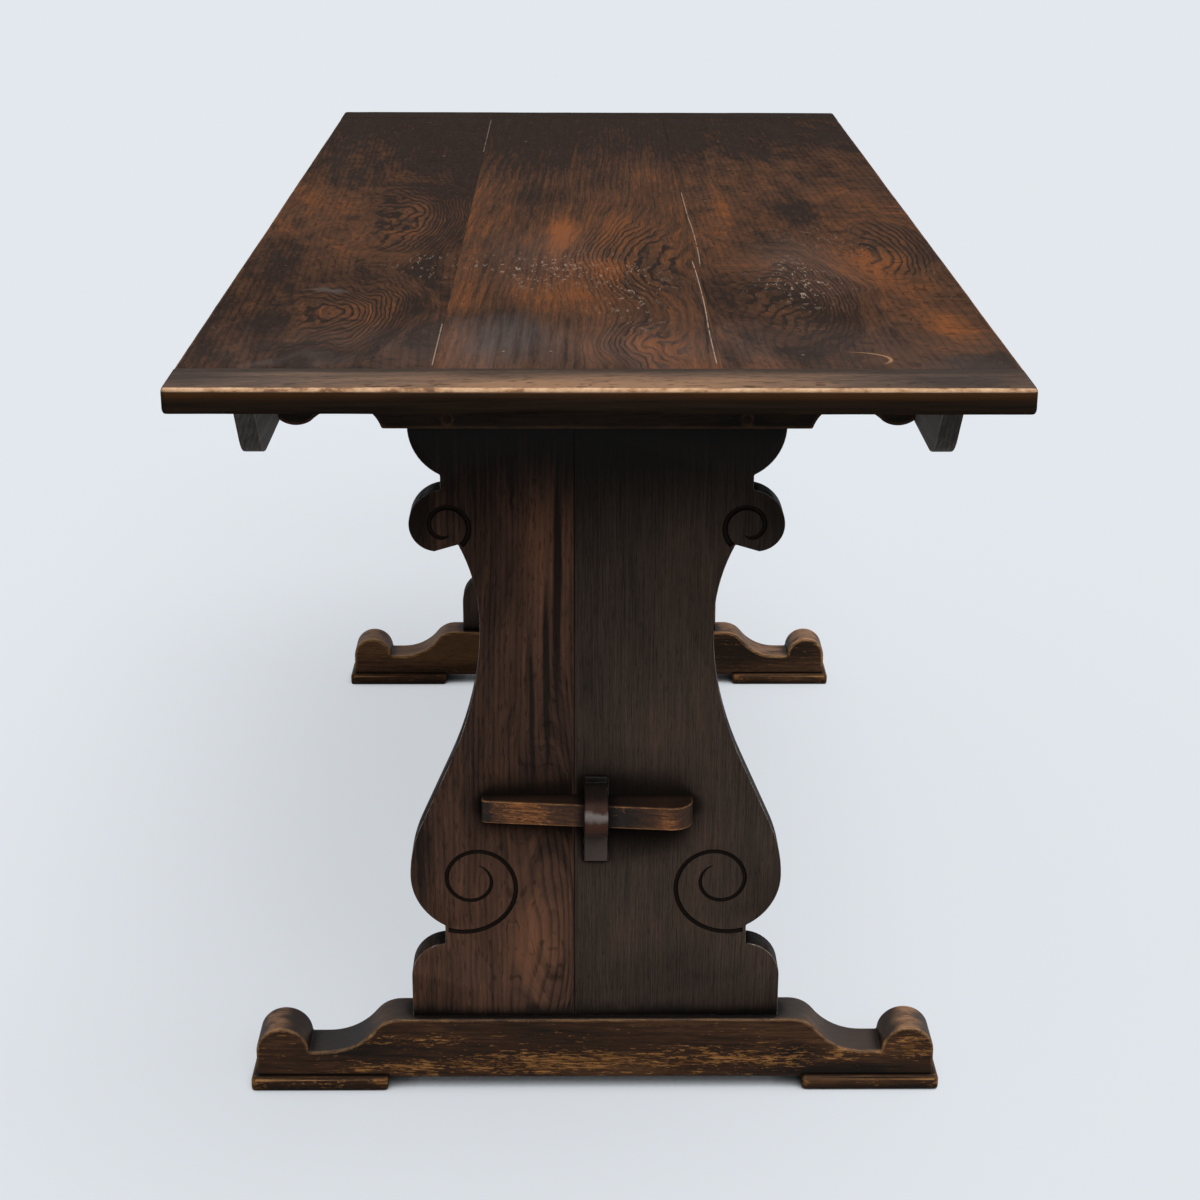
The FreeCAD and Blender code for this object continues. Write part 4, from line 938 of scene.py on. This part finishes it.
for offset, end in enumerate(("near", "far")):
    node = "foot_" + end
    low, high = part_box(node)
    knob_x = high.x - (high.z - low.z) * 0.375
    zones = [(0.028, -0.03, 0.026, 0.20, 0.70), (0.034, 0.15, 0.028, 0.14, 0.60),
             (0.055, -0.17, 0.016, 0.10, 0.30), (0.022, -0.20, 0.012, 0.12, 0.50),
             (0.042, 0.26, 0.014, 0.05, 0.60)]
    zones += [(0.048, hand * knob_x, 0.026, 0.034, 0.45 + 0.2 * hand) for hand in (-1, 1)]
    spots = [(0.018, 0.25, 0.016, 0.10, -0.45), (0.040, 0.195, 0.016, 0.035, -0.35),
             (0.045, -0.230, 0.035, 0.09, -0.30)]
    if end == "far":
        zones = [(zone[0], -zone[1], zone[2], zone[3], 0.5 * zone[4]) for zone in zones]
        # Painted light and shade: the far foot's left end is lightened and its right end darkened.
        spots = [(0.050, 0.20 * hand, 0.045, 0.20, 0.12 - 0.52 * hand) for hand in (-1, 1)]
    oak = stained_oak("oak_" + node, "zyx", place=(7.1 + offset, 3.0, 2.0), pith=(-0.30, 0.10),
                      taper=0.02, tones=FOOT_STAIN[end], spots=spots, patchy=0.5,
                      patch_size=(22.0, 6.0), streaky=0.24, streak_size=(260.0, 22.0), fibrous=0.26,
                      bare_reach=0.0034 + 0.0022 * offset, nook_shade=0.5, sheen=0.06)
    rubbed_top = [(high.z * 0.86, hand * knob_x, 0.014, 0.017, 1.60) for hand in (-1, 1)]
    rubbed_top += [(high.z * 0.92, hand * 0.215, 0.022, 0.030, 0.30) for hand in (-1, 1)]
    # Painted sheen: upward faces are laid towards grey on the near foot and warm brown on the far, for the
    # light they catch.
    lay(oak, oak.times(oak.upward, 0.55), SEAT_SHEEN[end])
    # Worn knob tops; on the far foot every upward face also takes this tone, as painted light.
    share = raised(oak, 0.90 * offset, rubbed_top)
    share = oak.times(share, oak.ramp(oak.rub, 0.34, 0.60))
    share = oak.maths("MULTIPLY", share, oak.upward, clamp=True)
    lay(oak, share, oak.tones(oak.fibre, (0.30, SHOE_RUB_AND_TOP_LIGHT[0]), (0.72, SHOE_RUB_AND_TOP_LIGHT[1])))
    scuffed(oak, zones)
    arris_mark = oak.times(oak.edge, oak.ramp(oak.across, low.z + 0.008, low.z + 0.020))
    lay(oak, arris_mark, oak.tones(oak.fibre, (0.36, RUBBED_FOOT[0]), (0.54, RUBBED_FOOT[1])))
    painted_contact_shade(oak, 0.014, 0.9)
    foot = eased_copy(node, 0.0022, oak.material, segments=3)

    for side_name in ("left", "right"):
        node = f"foot_pad_{end}_{side_name}"
        low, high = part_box(node)
        middle_y = (low.y + high.y) / 2
        zones = [(middle_y, x, 0.05, 0.030, 1.45) for x in (low.x, high.x)]
        zones += [(middle_y, (low.x + high.x) / 2, 0.05, 0.06, 0.70)]
        oak = stained_oak("oak_" + node, "yzx", place=(1.0 + offset, 4.0, 6.0 + low.x),
                          pith=(0.2, 0.2), depth=0.55, tones=FOOT_STAIN[end], patchy=0.5,
                          patch_size=(30.0, 14.0), streaky=0.24, fibrous=0.22, bare=0.95,
                          bare_reach=0.004, bare_tones=PAD_RIM, nook_shade=0.3, sheen=0.06)
        scuffed(oak, zones, grain=(420.0, 150.0))
        painted_contact_shade(oak, 0.012, 0.8)
        pad = eased_copy(node, 0.0034, oak.material, segments=3)


def mottled_metal(name, cells, tones, metallic, rough):
    """Tarnished metal: a colour scale, and ramps for metallic and rough, all over one fine noise."""
    metal = Finish(name)
    place = metal.node("ShaderNodeTexCoord", {}).outputs["Object"]
    mottle = metal.noise(place, (cells, cells, cells), 3.0)
    skin = metal.node("ShaderNodeBsdfPrincipled", {
        "Base Color": metal.tones(mottle, *tones),
        "Metallic": metal.ramp(mottle, *metallic),
        "Roughness": metal.ramp(mottle, *rough)})
    metal.node("ShaderNodeOutputMaterial", {0: skin.outputs[0]})
    return metal.material


iron = mottled_metal("nail_iron", 900.0, ((0.35, (0.05, 0.045, 0.042)), (0.7, (0.16, 0.06, 0.03))),
                     metallic=(0.65, 0.4, 0.2, 0.9), rough=(0.3, 0.7, 0.35, 0.8))
dress(("pad_nails_near", "pad_nails_far"), iron)


# ---------------------------------------------------------------- stretcher
# One long rail on edge between the trestles. Its tenons pass through the panels and end
# in a rounded nose, mortised for the wedge key.
# Painted highlight and shade: a pale band across the middle of each nose, and a dark upper part where the
# top shades it.
NOSE_LIGHT_AND_SHADE_BANDS = ((0.00, (0.110, 0.087, 0.074)), (0.44, (0.094, 0.070, 0.058)), (0.50, (0.075, 0.027, 0.013)),
              (0.59, (0.085, 0.040, 0.026)), (0.635, (0.260, 0.225, 0.210)), (0.66, (0.280, 0.245, 0.230)),
              (0.69, (0.075, 0.040, 0.028)), (0.72, (0.050, 0.019, 0.010)), (0.75, (0.030, 0.012, 0.008)),
              (0.78, (0.0120, 0.0105, 0.0095)), (1.00, (0.015, 0.013, 0.012)))
oak = stained_oak("oak_stretcher", "zxy", place=(2.0, 2.0, 2.0), pith=(0.60, 0.20),
                  tones=NARROW_TONES, depth=0.42, bare=0.4, bare_reach=0.003, nook_shade=0.3,
                  sheen=0.06, gloss=0.30)
low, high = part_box("stretcher")
panel_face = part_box("panel_board_wide_far")[1].y
height_share = oak.maths("DIVIDE", oak.maths("SUBTRACT", oak.across, low.z), high.z - low.z)
height_share = oak.maths("MULTIPLY_ADD", oak.maths("SUBTRACT", oak.rub, 0.5), 0.10, height_share)
outside = oak.ramp(oak.maths("ABSOLUTE", oak.along), panel_face - 0.0005, panel_face + 0.0010)
lay(oak, oak.times(outside, 0.9), oak.tones(height_share, *NOSE_LIGHT_AND_SHADE_BANDS))
painted_contact_shade(oak, 0.012, 0.8)
stretcher = eased_copy("stretcher", 0.0014, oak.material)


# ---------------------------------------------------------------- wedge keys
# A long tapered key through each nose draws the trestle tight. It is handled whenever the
# table is taken down, so it has rubbed back to a warmer brown.
KEY_TONES = ((0.026, 0.020, 0.017), (0.085, 0.042, 0.026), (0.300, 0.125, 0.052))
HANDLED = ((0.100, 0.038, 0.018), (0.420, 0.172, 0.064))
KEY_TOP = (0.022, 0.0125, 0.009)
KEY_MIDDLE = 0.300
KEY_SPOTS = ((-0.104, 0.010, -0.50), (-0.070, 0.045, 0.12), (0.020, 0.035, -0.40), (0.066, 0.014, 0.20),
             (0.090, 0.012, -0.12))
KEY_SCUFFS = ((-0.066, 0.046, 0.72), (0.066, 0.014, 0.45))
KEY_RIM = ((0.22, 0.090, 0.035), (0.95, 0.46, 0.18))
for offset, end in enumerate(("near", "far")):
    hand = 1 - 2 * offset
    spots = [(KEY_MIDDLE, place * hand, 0.05, half, strength) for place, half, strength in KEY_SPOTS]
    zones = [(KEY_MIDDLE, place * hand, 0.06, half, strength) for place, half, strength in KEY_SCUFFS]
    oak = stained_oak("oak_wedge_key_" + end, "zyx", place=(3.3 + offset, 8.0, 1.0),
                      pith=(-0.30, 0.30), tones=KEY_TONES, figure=0.1, spots=spots, patchy=0.24,
                      patch_size=(30.0, 18.0), drift=(0.002, 0.010), streaky=0.20,
                      streak_size=(420.0, 60.0), fibrous=0.30, bare=0.9, bare_reach=0.0026,
                      bare_tones=KEY_RIM, sheen=0.10)
    scuffed(oak, zones, grain=(900.0, 260.0), tones=HANDLED)
    lay(oak, oak.worn, oak.tones(oak.fibre, (0.35, KEY_RIM[0]), (0.65, KEY_RIM[1])))
    lay(oak, oak.times(oak.upward, 0.80), KEY_TOP)
    painted_contact_shade(oak, 0.012, 0.9)
    key = eased_copy("wedge_key_" + end, 0.0010, oak.material, body=end + "_key")


# ---------------------------------------------------------------- screws
# Steel wood screws, sunk in their bores. Those through the bearers hold the top down, and
# the countersunk ones hold the aprons to the bearers' ends.
steel = mottled_metal("screw_steel", 700.0, ((0.3, (0.16, 0.15, 0.14)), (0.7, (0.055, 0.045, 0.038))),
                      metallic=(0.35, 0.6, 0.9, 0.5), rough=(0.3, 0.7, 0.45, 0.7))
dress(("top_screws_near", "top_screws_far", "apron_screws_near", "apron_screws_far"), steel)
